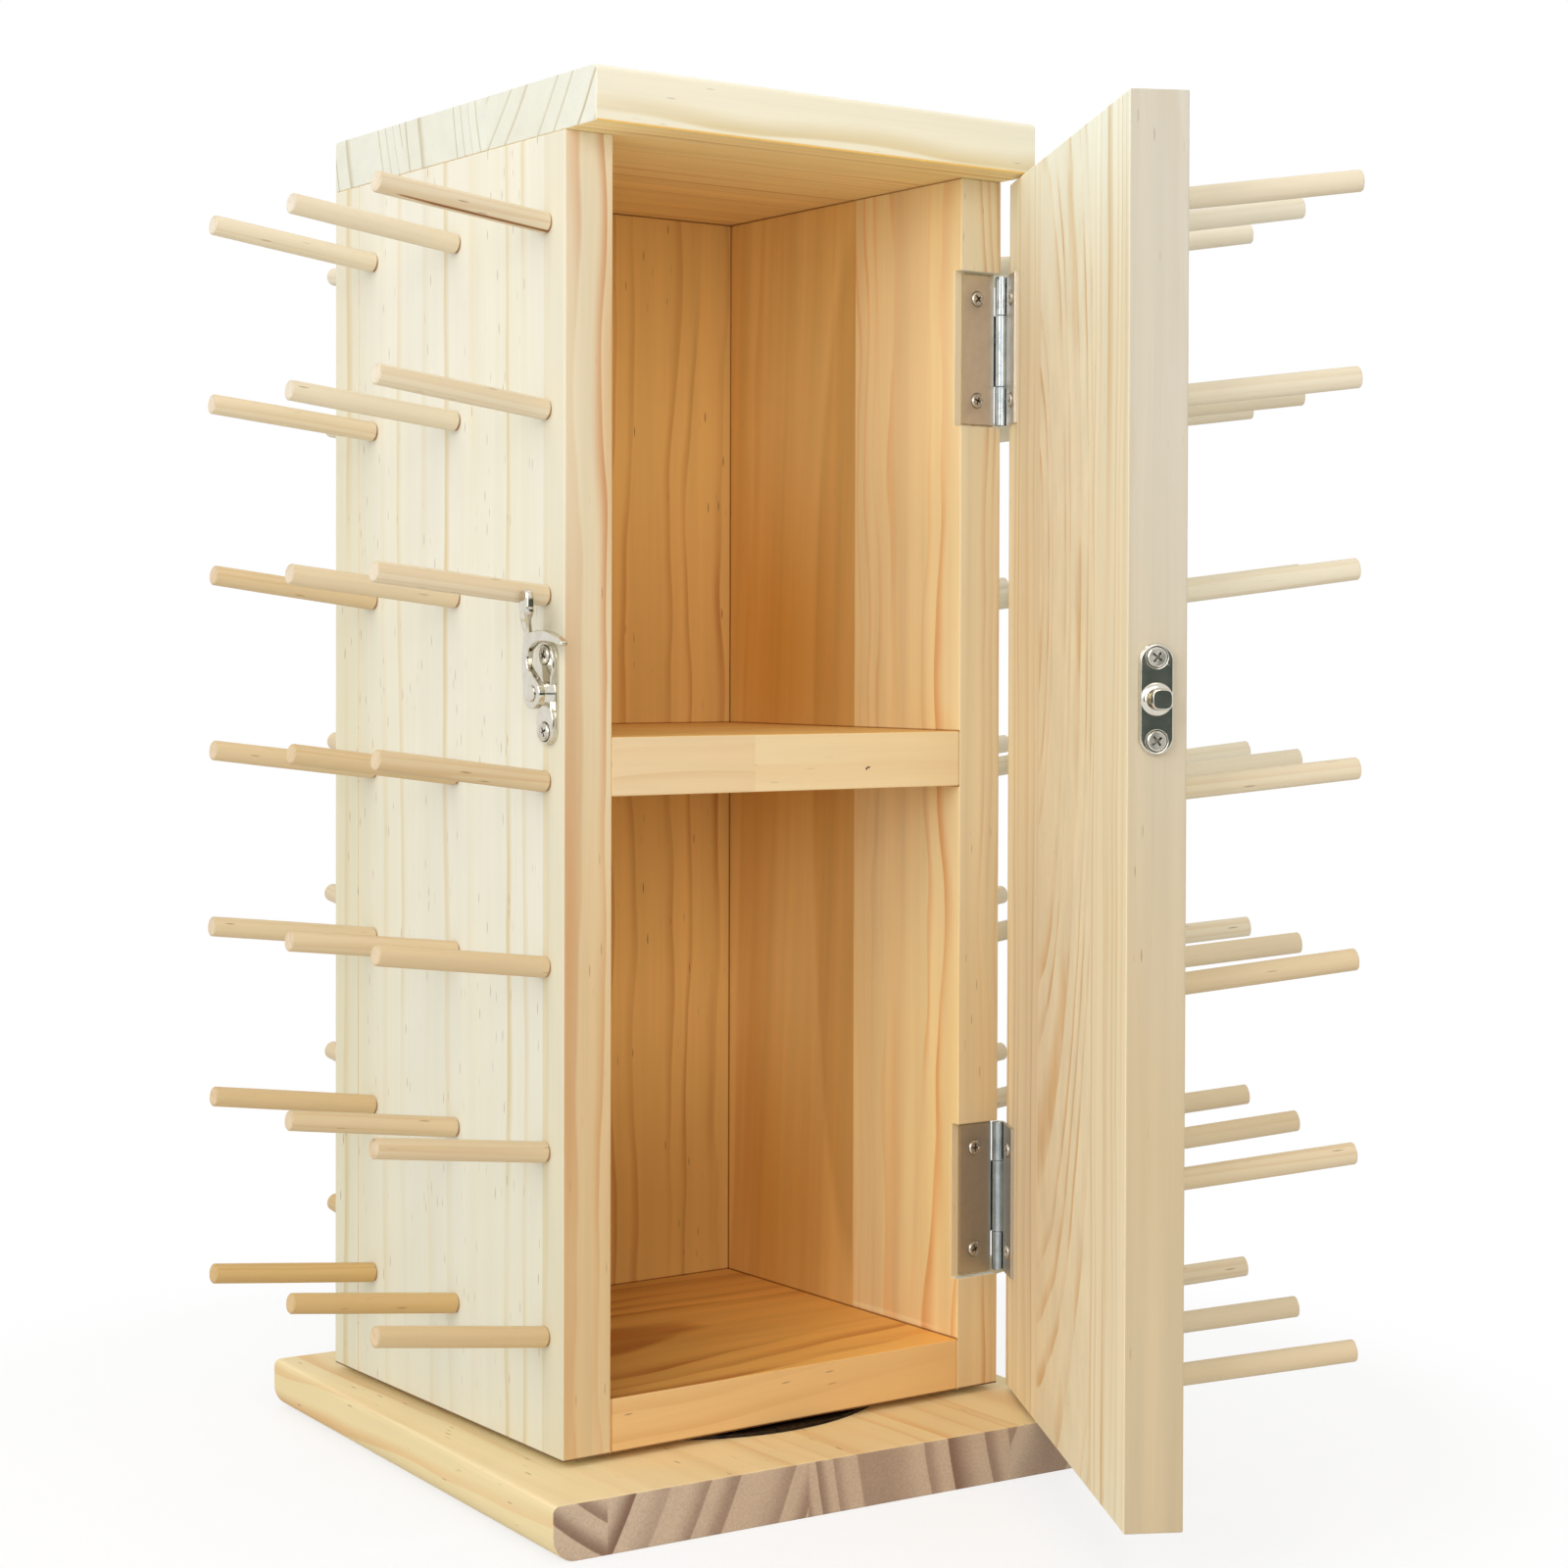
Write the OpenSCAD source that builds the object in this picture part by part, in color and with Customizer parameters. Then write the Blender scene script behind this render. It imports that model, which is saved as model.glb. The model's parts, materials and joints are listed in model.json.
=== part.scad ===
// Revolving pegged spool rack with a small cabinet behind a hinged door.
// Millimetres. Origin: centre of the base board's underside, on the turning axis. +Z up, the cabinet
// opens towards -Y. Everything is drawn as in the photograph: door part open, latch hook up.

/* [Boards] */
// thickness of every board except the shelf
board_t = 15; // [13:0.5:17]
// thickness of the middle shelf
shelf_t = 16; // [12:0.5:18]
// side of the square that the cabinet and its closed door fill
case_w = 150; // [146:1:156]
// height of the side, back and door panels
panel_h = 356; // [354:1:362]
// middle height of the shelf above the cabinet's underside
shelf_mid = 186; // [176:1:190]
// width of the base board, left to right
base_w = 180; // [170:1:200]
// depth of the base board, front to back
base_d = 184; // [170:1:200]
// degrees that the base stands turned under the cabinet in the photograph
base_turn = -3; // [-10:1:10]
// rounding of the base's lower long edges
base_round_low = 7; // [3:0.5:8]
// rounding of the base's upper long edges
base_round_top = 2; // [1:0.5:4]
// rounding of the top board's long edges
top_round = 1.6; // [0.8:0.2:3]
// diameter of the dowels that join the boards
dowel_d = 6; // [5:0.5:8]
// length of those dowels
dowel_len = 20; // [16:1:22]
// distance between the two dowels of a joint
dowel_apart = 50; // [40:1:56]

/* [Pegs] */
// distance between peg rows
row_pitch = 50; // [48:0.5:50]
// distance of the outer peg columns from the cabinet's edges
col_edge = 25; // [24:0.5:28]
// height of the lowest row above the cabinet's underside
first_row = 32; // [28:0.5:34]
// diameter of a peg
peg_d = 5.8; // [4.5:0.1:6.4]
// length of a peg outside its board
peg_out = 52; // [40:1:54]
// upward tilt of the pegs
peg_tilt = 7; // [4:0.5:9]
// most that one peg's tilt differs from the others
peg_wander = 0.7; // [0:0.1:1]
// depth of the peg holes
peg_sunk = 11; // [8:0.5:11]

/* [Door and hinges] */
// degrees that the door stands open in the photograph
door_open = 61.5; // [40:0.5:100]
// gap between the closed door and the cabinet's front edges
door_gap = 0.5; // [0.4:0.1:0.8]
// length of a hinge
hinge_len = 44; // [40:1:46]
// outside diameter of the hinge knuckles
knuckle_d = 3.7; // [3.5:0.1:4]
// thickness of the hinge leaves
leaf_t = 1; // [0.8:0.1:1.1]
// diameter of the hinge pins
pin_d = 1.9; // [1.7:0.1:2]
// reach of the hinge leaves in from the right side
leaf_reach = 12.4; // [11:0.1:13]
// how far the upper hinge sits below the middle of its gap between peg rows
hinge_top_drop = 0.7; // [0:0.1:2]
// the same for the lower hinge
hinge_low_drop = 1.5; // [0:0.1:3]

/* [Latch] */
// length of the latch and keeper plates
plate_len = 27.4; // [26.4:0.2:29]
// width of the latch and keeper plates
plate_w = 8.6; // [8:0.1:9.2]
// thickness of the latch and keeper plates
plate_t = 2; // [1.8:0.1:2.2]
// how far the latch sits below the middle of its gap between peg rows
latch_drop = 1.2; // [0.8:0.1:2]
// distance of the latch's middle from the closed door's outer face
latch_in = 22.6; // [22:0.1:23]
// distance of the keeper's middle from the door's outer face
keeper_in = 8.1; // [7.8:0.1:8.4]
// distance between the two screws of a plate
plate_screws = 20.6; // [20:0.2:21.2]
// thickness of the hook
hook_t = 2.2; // [1.8:0.1:2.4]
// height of the thumb pad's lower edge above the pivot
pad_up = 21; // [20.6:0.1:21.2]
// height of the thumb pad
pad_h = 6.6; // [5.6:0.2:7]

/* [Turntable] */
// gap between the base board and the cabinet
turn_gap = 1.9; // [1.8:0.1:2.4]
// diameter of the turntable's lower disc
disc_d = 125; // [118:1:135]
// diameter of the bearing balls
ball_d = 3; // [2.8:0.1:3.2]
// number of bearing balls
ball_n = 20; // [12:1:24]
// radius of the circle that the balls run on
track_r = 45; // [40:0.5:46]
// radius of the centre rivet
rivet_r = 6; // [5:0.5:7]
// distance of the upper screws from the turning axis
upper_screws_r = 26; // [22:0.5:30]
// radius of the access hole for the upper screws
access_r = 6; // [5:0.5:7]

/* [Hidden] */
$fn = 64;
e = 0.01;
run = 0.05;                       // running clearance of every pivot
half = case_w / 2;
col_pitch = half - col_edge;
z0 = board_t + turn_gap;          // cabinet underside
zt = z0 + panel_h;                // top board underside
front = -half + board_t + door_gap; // cabinet front plane
rear = half - board_t;            // back board's inner face
inner = half - board_t;           // side panels' inner faces
side_d = rear - front;

tenon_d = peg_d - 0.4;
shoulder = peg_d / 2 * tan(peg_tilt + 1.5 * peg_wander) + 0.1; // start of the full diameter, off the board
rows = floor((panel_h - first_row - 10) / row_pitch) + 1;
function row_z(i) = z0 + first_row + i * row_pitch;

door_low = z0 - 0.3;
door_high = zt - 0.6;
door_edge = half - 0.6;           // hinge edge of the closed door
door_in = -half + board_t;        // inner face of the closed door

notch_y = front + knuckle_d - door_gap; // floor of the hinge notches
notch_h = hinge_len + 1.4;
pin_x = half + 1.6;
pin_y = (notch_y + door_in) / 2;
leaf_far = half - leaf_reach;     // leaf's long free edge
leaf_near = pin_x - knuckle_d / 2 - 0.45;
leaf_screw_x = half - 7;
leaf_screw_z = 15;
knuckle_mid = hinge_len * 0.48;
hinge_z = [row_z(rows - 1.5) - hinge_top_drop, row_z(0.5) - hinge_low_drop];

latch_y = -half + latch_in;
latch_z = row_z(3.5) - latch_drop;
keeper_y = -half + keeper_in;
waist_r = 14;                     // radius of the plates' waists
boss_h = 1.8;
hook_lo = plate_t + boss_h + 0.2;
hook_hi = hook_lo + hook_t;
pivot_r = 1.5;
post_r = 1.6;

ring_w = 3;                       // half the width of the discs' raised tracks
cage_w = 4;                       // half the width of the cage
pocket_r = track_r + cage_w + 3;
pocket_h = 6;
disc_t = 1;
lower_screws_r = disc_d / 2 - 5.5;
upper_t = 1.2;
ball_z = z0 + pocket_h - upper_t - ball_d / 2 - 1.6;
groove_r = ball_d / 2 + 0.1;
rivet_head = rivet_r + 3;

// screws: head radius, shank radius, length, depth of the countersink
disc_s = [3, 1.4, 12, 1.6];
upper_s = [3.2, 1.4, 8, 1];
leaf_s = [1.85, 0.9, 9, 0.9];
plate_s = [2.5, 1.1, 11, 1.3];

wood = [0.93, 0.84, 0.67];
peg_c = [0.93, 0.87, 0.73];
nickel = [0.78, 0.76, 0.73];
black = [0.08, 0.07, 0.07];

// One peg along +X from the origin, which is on the board's face.
module peg(tilt, cut = 0) {
    rotate([0, -tilt, 0]) {
        translate([-peg_sunk, 0, 0]) rotate([0, 90, 0])
            cylinder(d = tenon_d, h = peg_sunk + (cut > 0 ? 3 : shoulder + e));
        if (cut == 0) {
            translate([shoulder, 0, 0]) rotate([0, 90, 0])
                cylinder(d = peg_d, h = peg_out - 0.6 - shoulder);
            translate([peg_out - 0.6, 0, 0]) rotate([0, 90, 0])
                cylinder(d1 = peg_d, d2 = peg_d - 1, h = 0.6);
        }
    }
}

// Column c (-1, 0 or 1) of pegs on the face that looks along +X, half from the axis.
module peg_column(c, seed, cut = 0) {
    for (i = [0 : rows - 1])
        translate([half, c * col_pitch, row_z(i)])
            rotate([0, 0, peg_wander * cos(113 * i + 71 * c + seed)])
                peg(peg_tilt + peg_wander * sin(137 * i + 59 * c + seed), cut);
}

// The pegs of one side, turned to it: 0 right, 90 back, 180 left, 270 front.
module peg_side(turn, c, seed, cut = 0) {
    rotate([0, 0, turn]) peg_column(c, seed, cut);
}

module peg_holes(turn, seed) {
    for (c = [-1 : 1]) peg_side(turn, c, seed, 1);
}

// Bar along Y with its four long edges rounded.
module long_edge_board(w, d, t, r_low, r_top) {
    difference() {
        translate([-w / 2, -d / 2, 0]) cube([w, d, t]);
        for (s = [-1, 1]) {
            edge_cut(s, w, d, 0, r_low, 1);
            edge_cut(s, w, d, t, r_top, -1);
        }
    }
}

// What rounding one long edge takes away: s is the side, up is 1 at the bottom and -1 at the top.
module edge_cut(s, w, d, z, r, up) {
    difference() {
        translate([s > 0 ? w / 2 - r : -w / 2 - 1, -d / 2 - 1, up > 0 ? z - 1 : z - r])
            cube([r + 1, d + 2, r + 1]);
        translate([s * (w / 2 - r), d / 2 + 2, z + up * r]) rotate([90, 0, 0])
            cylinder(r = r, h = d + 4);
    }
}

// Wood screw pointing along -Z from its seat at the origin, with a cross recess in its head.
module screw(head_r, shank_r, len, sink, dome) {
    difference() {
        union() {
            translate([0, 0, -sink]) cylinder(r1 = shank_r, r2 = head_r, h = sink);
            if (dome > 0) cylinder(r1 = head_r, r2 = head_r * 0.72, h = dome);
            translate([0, 0, -len + 1]) cylinder(r = shank_r, h = len - 1 - sink + e);
            translate([0, 0, -len]) cylinder(r1 = 0.2, r2 = shank_r, h = 1);
        }
        for (a = [0, 90]) rotate([0, 0, a])
            translate([-head_r * 0.55, -head_r * 0.12, dome - head_r * 0.45])
                cube([head_r * 1.1, head_r * 0.24, head_r]);
    }
}

module screw_hole(head_r, shank_r, len, sink) {
    translate([0, 0, -sink]) cylinder(r1 = shank_r, r2 = head_r, h = sink);
    cylinder(r = head_r, h = 2);
    translate([0, 0, -len + 1]) cylinder(r = shank_r, h = len - 1);
    translate([0, 0, -len]) cylinder(r1 = 0.2, r2 = shank_r, h = 1);
}

// Opens the door's parts from the closed pose to the one in the photograph.
module opened() {
    translate([pin_x, pin_y, 0]) rotate([0, 0, door_open]) translate([-pin_x, -pin_y, 0]) children();
}

// Places of the fixings; each child is drawn pointing along -Z from its seat.
module at_lower_screws() {
    for (a = [0 : 3]) rotate([0, 0, 45 + 90 * a])
        translate([lower_screws_r, 0, board_t + disc_t]) children();
}
module at_upper_screws() {
    for (a = [0 : 3]) rotate([0, 0, 45 + 90 * a])
        translate([upper_screws_r, 0, z0 + pocket_h - upper_t]) rotate([180, 0, 0]) children();
}
module at_case_leaf_screws() {
    for (z = hinge_z, s = [-1, 1])
        translate([leaf_screw_x, notch_y - leaf_t, z + s * leaf_screw_z]) rotate([90, 0, 0]) children();
}
module at_door_leaf_screws() {
    for (z = hinge_z, s = [-1, 1])
        translate([leaf_screw_x, door_in + leaf_t, z + s * leaf_screw_z]) rotate([-90, 0, 0]) children();
}
module at_plate_screws(y) {
    for (s = [-1, 1])
        translate([-half - plate_t, y, latch_z + s * plate_screws / 2]) rotate([0, -90, 0]) children();
}

module disc_screw() { screw(disc_s[0], disc_s[1], disc_s[2], disc_s[3], 0); }
module disc_screw_hole() { screw_hole(disc_s[0], disc_s[1], disc_s[2], disc_s[3]); }
module upper_screw() { screw(upper_s[0], upper_s[1], upper_s[2], upper_s[3], 1.2); }
module upper_screw_hole() { screw_hole(upper_s[0], upper_s[1], upper_s[2], upper_s[3]); }
module leaf_screw() { screw(leaf_s[0], leaf_s[1], leaf_s[2], leaf_s[3], 0.35); }
module leaf_screw_hole() { screw_hole(leaf_s[0], leaf_s[1], leaf_s[2], leaf_s[3]); }
module plate_screw() { screw(plate_s[0], plate_s[1], plate_s[2], plate_s[3], 0.5); }
module plate_screw_hole() { screw_hole(plate_s[0], plate_s[1], plate_s[2], plate_s[3]); }

// Dowels that join the case's boards, drawn once and cut from both boards of each joint.
module dowel() { translate([0, 0, -dowel_len / 2]) cylinder(d = dowel_d, h = dowel_len); }
module dowels() {
    side_x = half - board_t / 2;
    for (s = [-1, 1], t = [-0.5, 0.5]) {
        for (z = [z0 + board_t / 2, z0 + shelf_mid])
            translate([s * inner, t * dowel_apart, z]) rotate([0, 90, 0]) dowel();
        translate([s * side_x, t * dowel_apart, zt]) dowel();
    }
    for (s = [-1, 1], i = [0, 3, 5])
        translate([s * side_x, rear, row_z(i + 0.5)]) rotate([90, 0, 0]) dowel();
    for (t = [-0.5, 0.5]) translate([t * dowel_apart, half - board_t / 2, zt]) dowel();
}

/* Base and turntable */
module base_board() {
    color(wood) difference() {
        rotate([0, 0, base_turn]) long_edge_board(base_w, base_d, board_t, base_round_low, base_round_top);
        at_lower_screws() disc_screw_hole();
        translate([upper_screws_r, 0, -1]) cylinder(r = access_r, h = board_t + 2);
    }
}
module turntable_lower_disc() {
    color(black) difference() {
        union() {
            translate([0, 0, board_t]) cylinder(d = disc_d, h = disc_t, $fn = 128);
            translate([0, 0, board_t]) cylinder(r = track_r + ring_w, h = ball_z - 1.2 - board_t);
        }
        translate([0, 0, board_t + disc_t]) cylinder(r = track_r - ring_w, h = pocket_h);
        translate([0, 0, ball_z]) rotate_extrude() translate([track_r, 0]) circle(r = groove_r, $fn = 32);
        translate([0, 0, board_t - 1]) cylinder(r = rivet_r, h = disc_t + 2);
        translate([upper_screws_r, 0, board_t - 1]) cylinder(r = access_r, h = disc_t + 2);
        at_lower_screws() disc_screw_hole();
    }
}
module turntable_rivet() {
    color(nickel) difference() {
        union() {
            translate([0, 0, board_t]) cylinder(r = rivet_r, h = disc_t + 0.5);
            translate([0, 0, board_t + disc_t])
                cylinder(r = rivet_r + 1.5, h = z0 + pocket_h - upper_t - 0.3 - board_t - disc_t);
            translate([0, 0, board_t + disc_t])
                cylinder(r = rivet_r, h = z0 + pocket_h + 0.2 - board_t - disc_t);
            translate([0, 0, z0 + pocket_h + 0.15]) cylinder(r = rivet_head, h = 1.4);
        }
        translate([0, 0, board_t - 1]) cylinder(r = rivet_r - 1.6, h = z0 + 2 * pocket_h);
    }
}
module turntable_lower_screws() { color(nickel) at_lower_screws() disc_screw(); }
module turntable_cage() {
    color(black) difference() {
        translate([0, 0, ball_z - 0.5]) cylinder(r = track_r + cage_w, h = 1);
        translate([0, 0, ball_z - 1]) cylinder(r = track_r - cage_w, h = 2);
        for (i = [0 : ball_n - 1]) rotate([0, 0, 360 * i / ball_n])
            translate([track_r, 0, ball_z - 1]) cylinder(d = ball_d + 0.1, h = 2);
    }
}
module turntable_balls() {
    color(nickel) for (i = [0 : ball_n - 1]) rotate([0, 0, 360 * i / ball_n])
        translate([track_r, 0, ball_z]) sphere(d = ball_d, $fn = 24);
}
module turntable_upper_disc() {
    color(black) difference() {
        union() {
            translate([0, 0, z0 + pocket_h - upper_t]) cylinder(r = track_r + cage_w, h = upper_t);
            translate([0, 0, ball_z + 1.2])
                cylinder(r = track_r + ring_w, h = z0 + pocket_h - ball_z - 1.2);
        }
        translate([0, 0, ball_z]) cylinder(r = track_r - ring_w, h = z0 + pocket_h - upper_t - ball_z);
        translate([0, 0, ball_z]) rotate_extrude() translate([track_r, 0]) circle(r = groove_r, $fn = 32);
        translate([0, 0, z0]) cylinder(r = rivet_r + run, h = 2 * pocket_h);
        at_upper_screws() upper_screw_hole();
    }
}
module turntable_upper_screws() { color(nickel) at_upper_screws() upper_screw(); }

/* Case */
module bottom_board() {
    color(wood) difference() {
        translate([-inner, front, z0]) cube([2 * inner, side_d, board_t]);
        translate([0, 0, z0 - 1]) cylinder(r = pocket_r, h = pocket_h + 1);
        translate([0, 0, z0 - 1]) cylinder(r = rivet_head + 2, h = pocket_h + 1 + 2.5);
        at_upper_screws() upper_screw_hole();
        dowels();
    }
}
module left_panel() {
    color(wood) difference() {
        translate([-half, front, z0]) cube([board_t, side_d, panel_h]);
        peg_holes(180, 20);
        at_plate_screws(latch_y) plate_screw_hole();
        dowels();
    }
}
module right_panel() {
    color(wood) difference() {
        translate([inner, front, z0]) cube([board_t, side_d, panel_h]);
        peg_holes(0, 200);
        for (z = hinge_z) translate([inner - 1, front - 1, z - notch_h / 2])
            cube([board_t + 2, notch_y - front + 1, notch_h]);
        at_case_leaf_screws() leaf_screw_hole();
        dowels();
    }
}
module back_board() {
    color(wood) difference() {
        translate([-half, rear, z0]) cube([case_w, board_t, panel_h]);
        peg_holes(90, 110);
        dowels();
    }
}
module top_board() {
    color(wood) difference() {
        translate([0, 0, zt]) rotate([0, 0, 90])
            long_edge_board(case_w, case_w, board_t, 0.4, top_round);
        dowels();
    }
}
module shelf() {
    color(wood) difference() {
        translate([-inner, front, z0 + shelf_mid - shelf_t / 2]) cube([2 * inner, side_d, shelf_t]);
        dowels();
    }
}
module case_dowels() { color(peg_c) dowels(); }

module pegs_left_front() { color(peg_c) peg_side(180, 1, 20); }
module pegs_left_middle() { color(peg_c) peg_side(180, 0, 20); }
module pegs_left_back() { color(peg_c) peg_side(180, -1, 20); }
module pegs_right_front() { color(peg_c) peg_side(0, -1, 200); }
module pegs_right_middle() { color(peg_c) peg_side(0, 0, 200); }
module pegs_right_back() { color(peg_c) peg_side(0, 1, 200); }
module pegs_back_left() { color(peg_c) peg_side(90, 1, 110); }
module pegs_back_middle() { color(peg_c) peg_side(90, 0, 110); }
module pegs_back_right() { color(peg_c) peg_side(90, -1, 110); }

/* Hinges */
// Case leaf: it lies on the notch's floor and carries the middle knuckle.
module case_leaf(z) {
    difference() {
        union() {
            translate([leaf_far, notch_y - leaf_t, z - hinge_len / 2])
                cube([leaf_near - leaf_far, leaf_t, hinge_len]);
            translate([leaf_near - e, notch_y - leaf_t, z - knuckle_mid / 2 + 0.08])
                cube([pin_x - leaf_near, leaf_t, knuckle_mid - 0.16]);
            translate([pin_x, pin_y, z - knuckle_mid / 2 + 0.08])
                cylinder(d = knuckle_d, h = knuckle_mid - 0.16);
        }
        translate([pin_x, pin_y, z - hinge_len]) cylinder(d = pin_d, h = 2 * hinge_len);
        at_case_leaf_screws() leaf_screw_hole();
    }
}
// Door leaf: it lies on the door's inner face and carries the end knuckles.
module door_leaf(z) {
    difference() {
        union() {
            translate([leaf_far, door_in, z - hinge_len / 2])
                cube([leaf_near - leaf_far, leaf_t, hinge_len]);
            for (s = [-1, 1]) translate([0, 0, z + s * (hinge_len + knuckle_mid) / 4]) {
                l = (hinge_len - knuckle_mid) / 2 - 0.08;
                translate([leaf_near - e, door_in, -l / 2 + s * 0.04]) cube([pin_x - leaf_near, leaf_t, l]);
                translate([pin_x, pin_y, -l / 2 + s * 0.04]) cylinder(d = knuckle_d, h = l);
            }
        }
        translate([pin_x, pin_y, z - hinge_len]) cylinder(d = pin_d + 2 * run, h = 2 * hinge_len);
        at_door_leaf_screws() leaf_screw_hole();
    }
}
module hinge_upper_case_leaf() { color(nickel) case_leaf(hinge_z[0]); }
module hinge_lower_case_leaf() { color(nickel) case_leaf(hinge_z[1]); }
module hinge_pins() {
    color(nickel) for (z = hinge_z) translate([pin_x, pin_y, z - hinge_len / 2 - 0.2])
        cylinder(d = pin_d, h = hinge_len + 0.4);
}
module hinge_case_screws() { color(nickel) at_case_leaf_screws() leaf_screw(); }
module hinge_upper_door_leaf() { color(nickel) opened() door_leaf(hinge_z[0]); }
module hinge_lower_door_leaf() { color(nickel) opened() door_leaf(hinge_z[1]); }
module hinge_door_screws() { color(nickel) opened() at_door_leaf_screws() leaf_screw(); }

/* Latch and keeper */
// Plate lying on the plane x = -half, with rounded ends; waist narrows its upper part.
module plate(y, waist) {
    r = plate_w / 2;
    m = plate_len / 2 - r;
    translate([-half, y, latch_z]) rotate([0, -90, 0]) {
        difference() {
            union() {
                translate([-m, -r, 0]) cube([2 * m, 2 * r, plate_t]);
                for (s = [-1, 1]) translate([s * m, 0, 0]) {
                    cylinder(r = r, h = plate_t - 0.4);
                    translate([0, 0, plate_t - 0.4]) cylinder(r1 = r, r2 = r - 0.4, h = 0.4);
                }
            }
            for (s = [-1, 1]) translate([0, s * (r + waist_r - waist), plate_t - 1.2])
                cylinder(r = waist_r, h = 2);
        }
    }
}
module latch_plate() {
    color(nickel) difference() {
        union() {
            plate(latch_y, 1.1);
            translate([-half, latch_y, latch_z]) rotate([0, -90, 0])
                cylinder(r1 = 4, r2 = 3, h = plate_t + boss_h);
        }
        at_plate_screws(latch_y) plate_screw_hole();
        translate([-half + 1, latch_y, latch_z]) rotate([0, -90, 0]) cylinder(r = pivot_r, h = 9);
    }
}
module latch_pivot() {
    color(nickel) translate([-half, latch_y, latch_z]) rotate([0, -90, 0]) {
        cylinder(r = pivot_r, h = hook_hi + 0.1);
        translate([0, 0, hook_hi + 0.1]) cylinder(r1 = 2.3, r2 = 2.1, h = 0.5);
    }
}
module latch_screws() { color(nickel) at_plate_screws(latch_y) plate_screw(); }

// Hook outline: forward is +x and up is +y, the pivot is at the origin.
module hook_stroke(a, b) {
    hull() {
        translate([a[0], a[1]]) circle(r = a[2], $fn = 24);
        translate([b[0], b[1]]) circle(r = b[2], $fn = 24);
    }
}
hook_path = [[-1.6, 1, 2.6], [-3, 7.5, 1.75], [-1.6, 14, 2.1], [3, 15.2, 1.6], [8, 15, 1.35],
    [12, 14.3, 1], [15.4, 13.4, 0.55]];
module latch_hook() {
    color(nickel) translate([-half, latch_y, latch_z]) rotate([0, 0, 180]) rotate([90, 0, 90])
        difference() {
            union() {
                translate([0, 0, hook_lo]) linear_extrude(hook_t) {
                    circle(r = 4.2);
                    for (i = [0 : len(hook_path) - 2]) hook_stroke(hook_path[i], hook_path[i + 1]);
                }
                hull() {
                    translate([-3.6, pad_up - pad_h, hook_lo]) cube([3.4, 2, hook_t]);
                    translate([1, pad_up + 0.2, hook_lo + 4]) cube([3.6, 0.8, 2.6]);
                }
                translate([0.9, pad_up, hook_lo + 3.8]) cube([4.4, pad_h, 3]);
            }
            translate([0, 0, hook_lo - 1]) cylinder(r = pivot_r + run, h = hook_t + 2);
        }
}
module keeper_plate() {
    color(nickel) opened() difference() {
        union() {
            plate(keeper_y, 0.6);
            translate([-half, keeper_y, latch_z]) rotate([0, -90, 0]) cylinder(r = 3.3, h = plate_t + 0.8);
        }
        at_plate_screws(keeper_y) plate_screw_hole();
        translate([-half + 1, keeper_y, latch_z]) rotate([0, -90, 0]) cylinder(r = post_r, h = 9);
    }
}
module keeper_post() {
    color(nickel) opened() translate([-half, keeper_y, latch_z]) rotate([0, -90, 0]) {
        cylinder(r = post_r, h = hook_hi + 0.4);
        translate([0, 0, hook_hi + 0.4]) cylinder(r1 = 2.4, r2 = 2.7, h = 0.4);
        translate([0, 0, hook_hi + 0.8]) cylinder(r1 = 2.7, r2 = 2.2, h = 0.9);
    }
}
module keeper_screws() { color(nickel) opened() at_plate_screws(keeper_y) plate_screw(); }

/* Door */
module door_panel() {
    color(wood) opened() difference() {
        translate([-half, -half, door_low]) cube([door_edge + half, board_t, door_high - door_low]);
        peg_holes(270, 300);
        at_door_leaf_screws() leaf_screw_hole();
        at_plate_screws(keeper_y) plate_screw_hole();
    }
}
module pegs_door_latch_side() { color(peg_c) opened() peg_side(270, -1, 300); }
module pegs_door_middle() { color(peg_c) opened() peg_side(270, 0, 300); }
module pegs_door_hinge_side() { color(peg_c) opened() peg_side(270, 1, 300); }

base_board();
turntable_lower_disc();
turntable_rivet();
turntable_lower_screws();
turntable_cage();
turntable_balls();
turntable_upper_disc();
turntable_upper_screws();
bottom_board();
left_panel();
right_panel();
back_board();
top_board();
shelf();
case_dowels();
pegs_left_front();
pegs_left_middle();
pegs_left_back();
pegs_right_front();
pegs_right_middle();
pegs_right_back();
pegs_back_left();
pegs_back_middle();
pegs_back_right();
hinge_upper_case_leaf();
hinge_lower_case_leaf();
hinge_pins();
hinge_case_screws();
latch_plate();
latch_pivot();
latch_screws();
latch_hook();
door_panel();
pegs_door_latch_side();
pegs_door_middle();
pegs_door_hinge_side();
hinge_upper_door_leaf();
hinge_lower_door_leaf();
hinge_door_screws();
keeper_plate();
keeper_post();
keeper_screws();
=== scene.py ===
import json
import logging
import math
from dataclasses import dataclass, replace
from enum import Enum
from functools import partial, reduce
from typing import Optional, Sequence

import bmesh
import bpy
from bmesh.types import BMEdge, BMesh, BMVert
from bpy.types import Material, Node, NodeSocket, NodeTree, Object
from mathutils import Matrix, Vector


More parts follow.
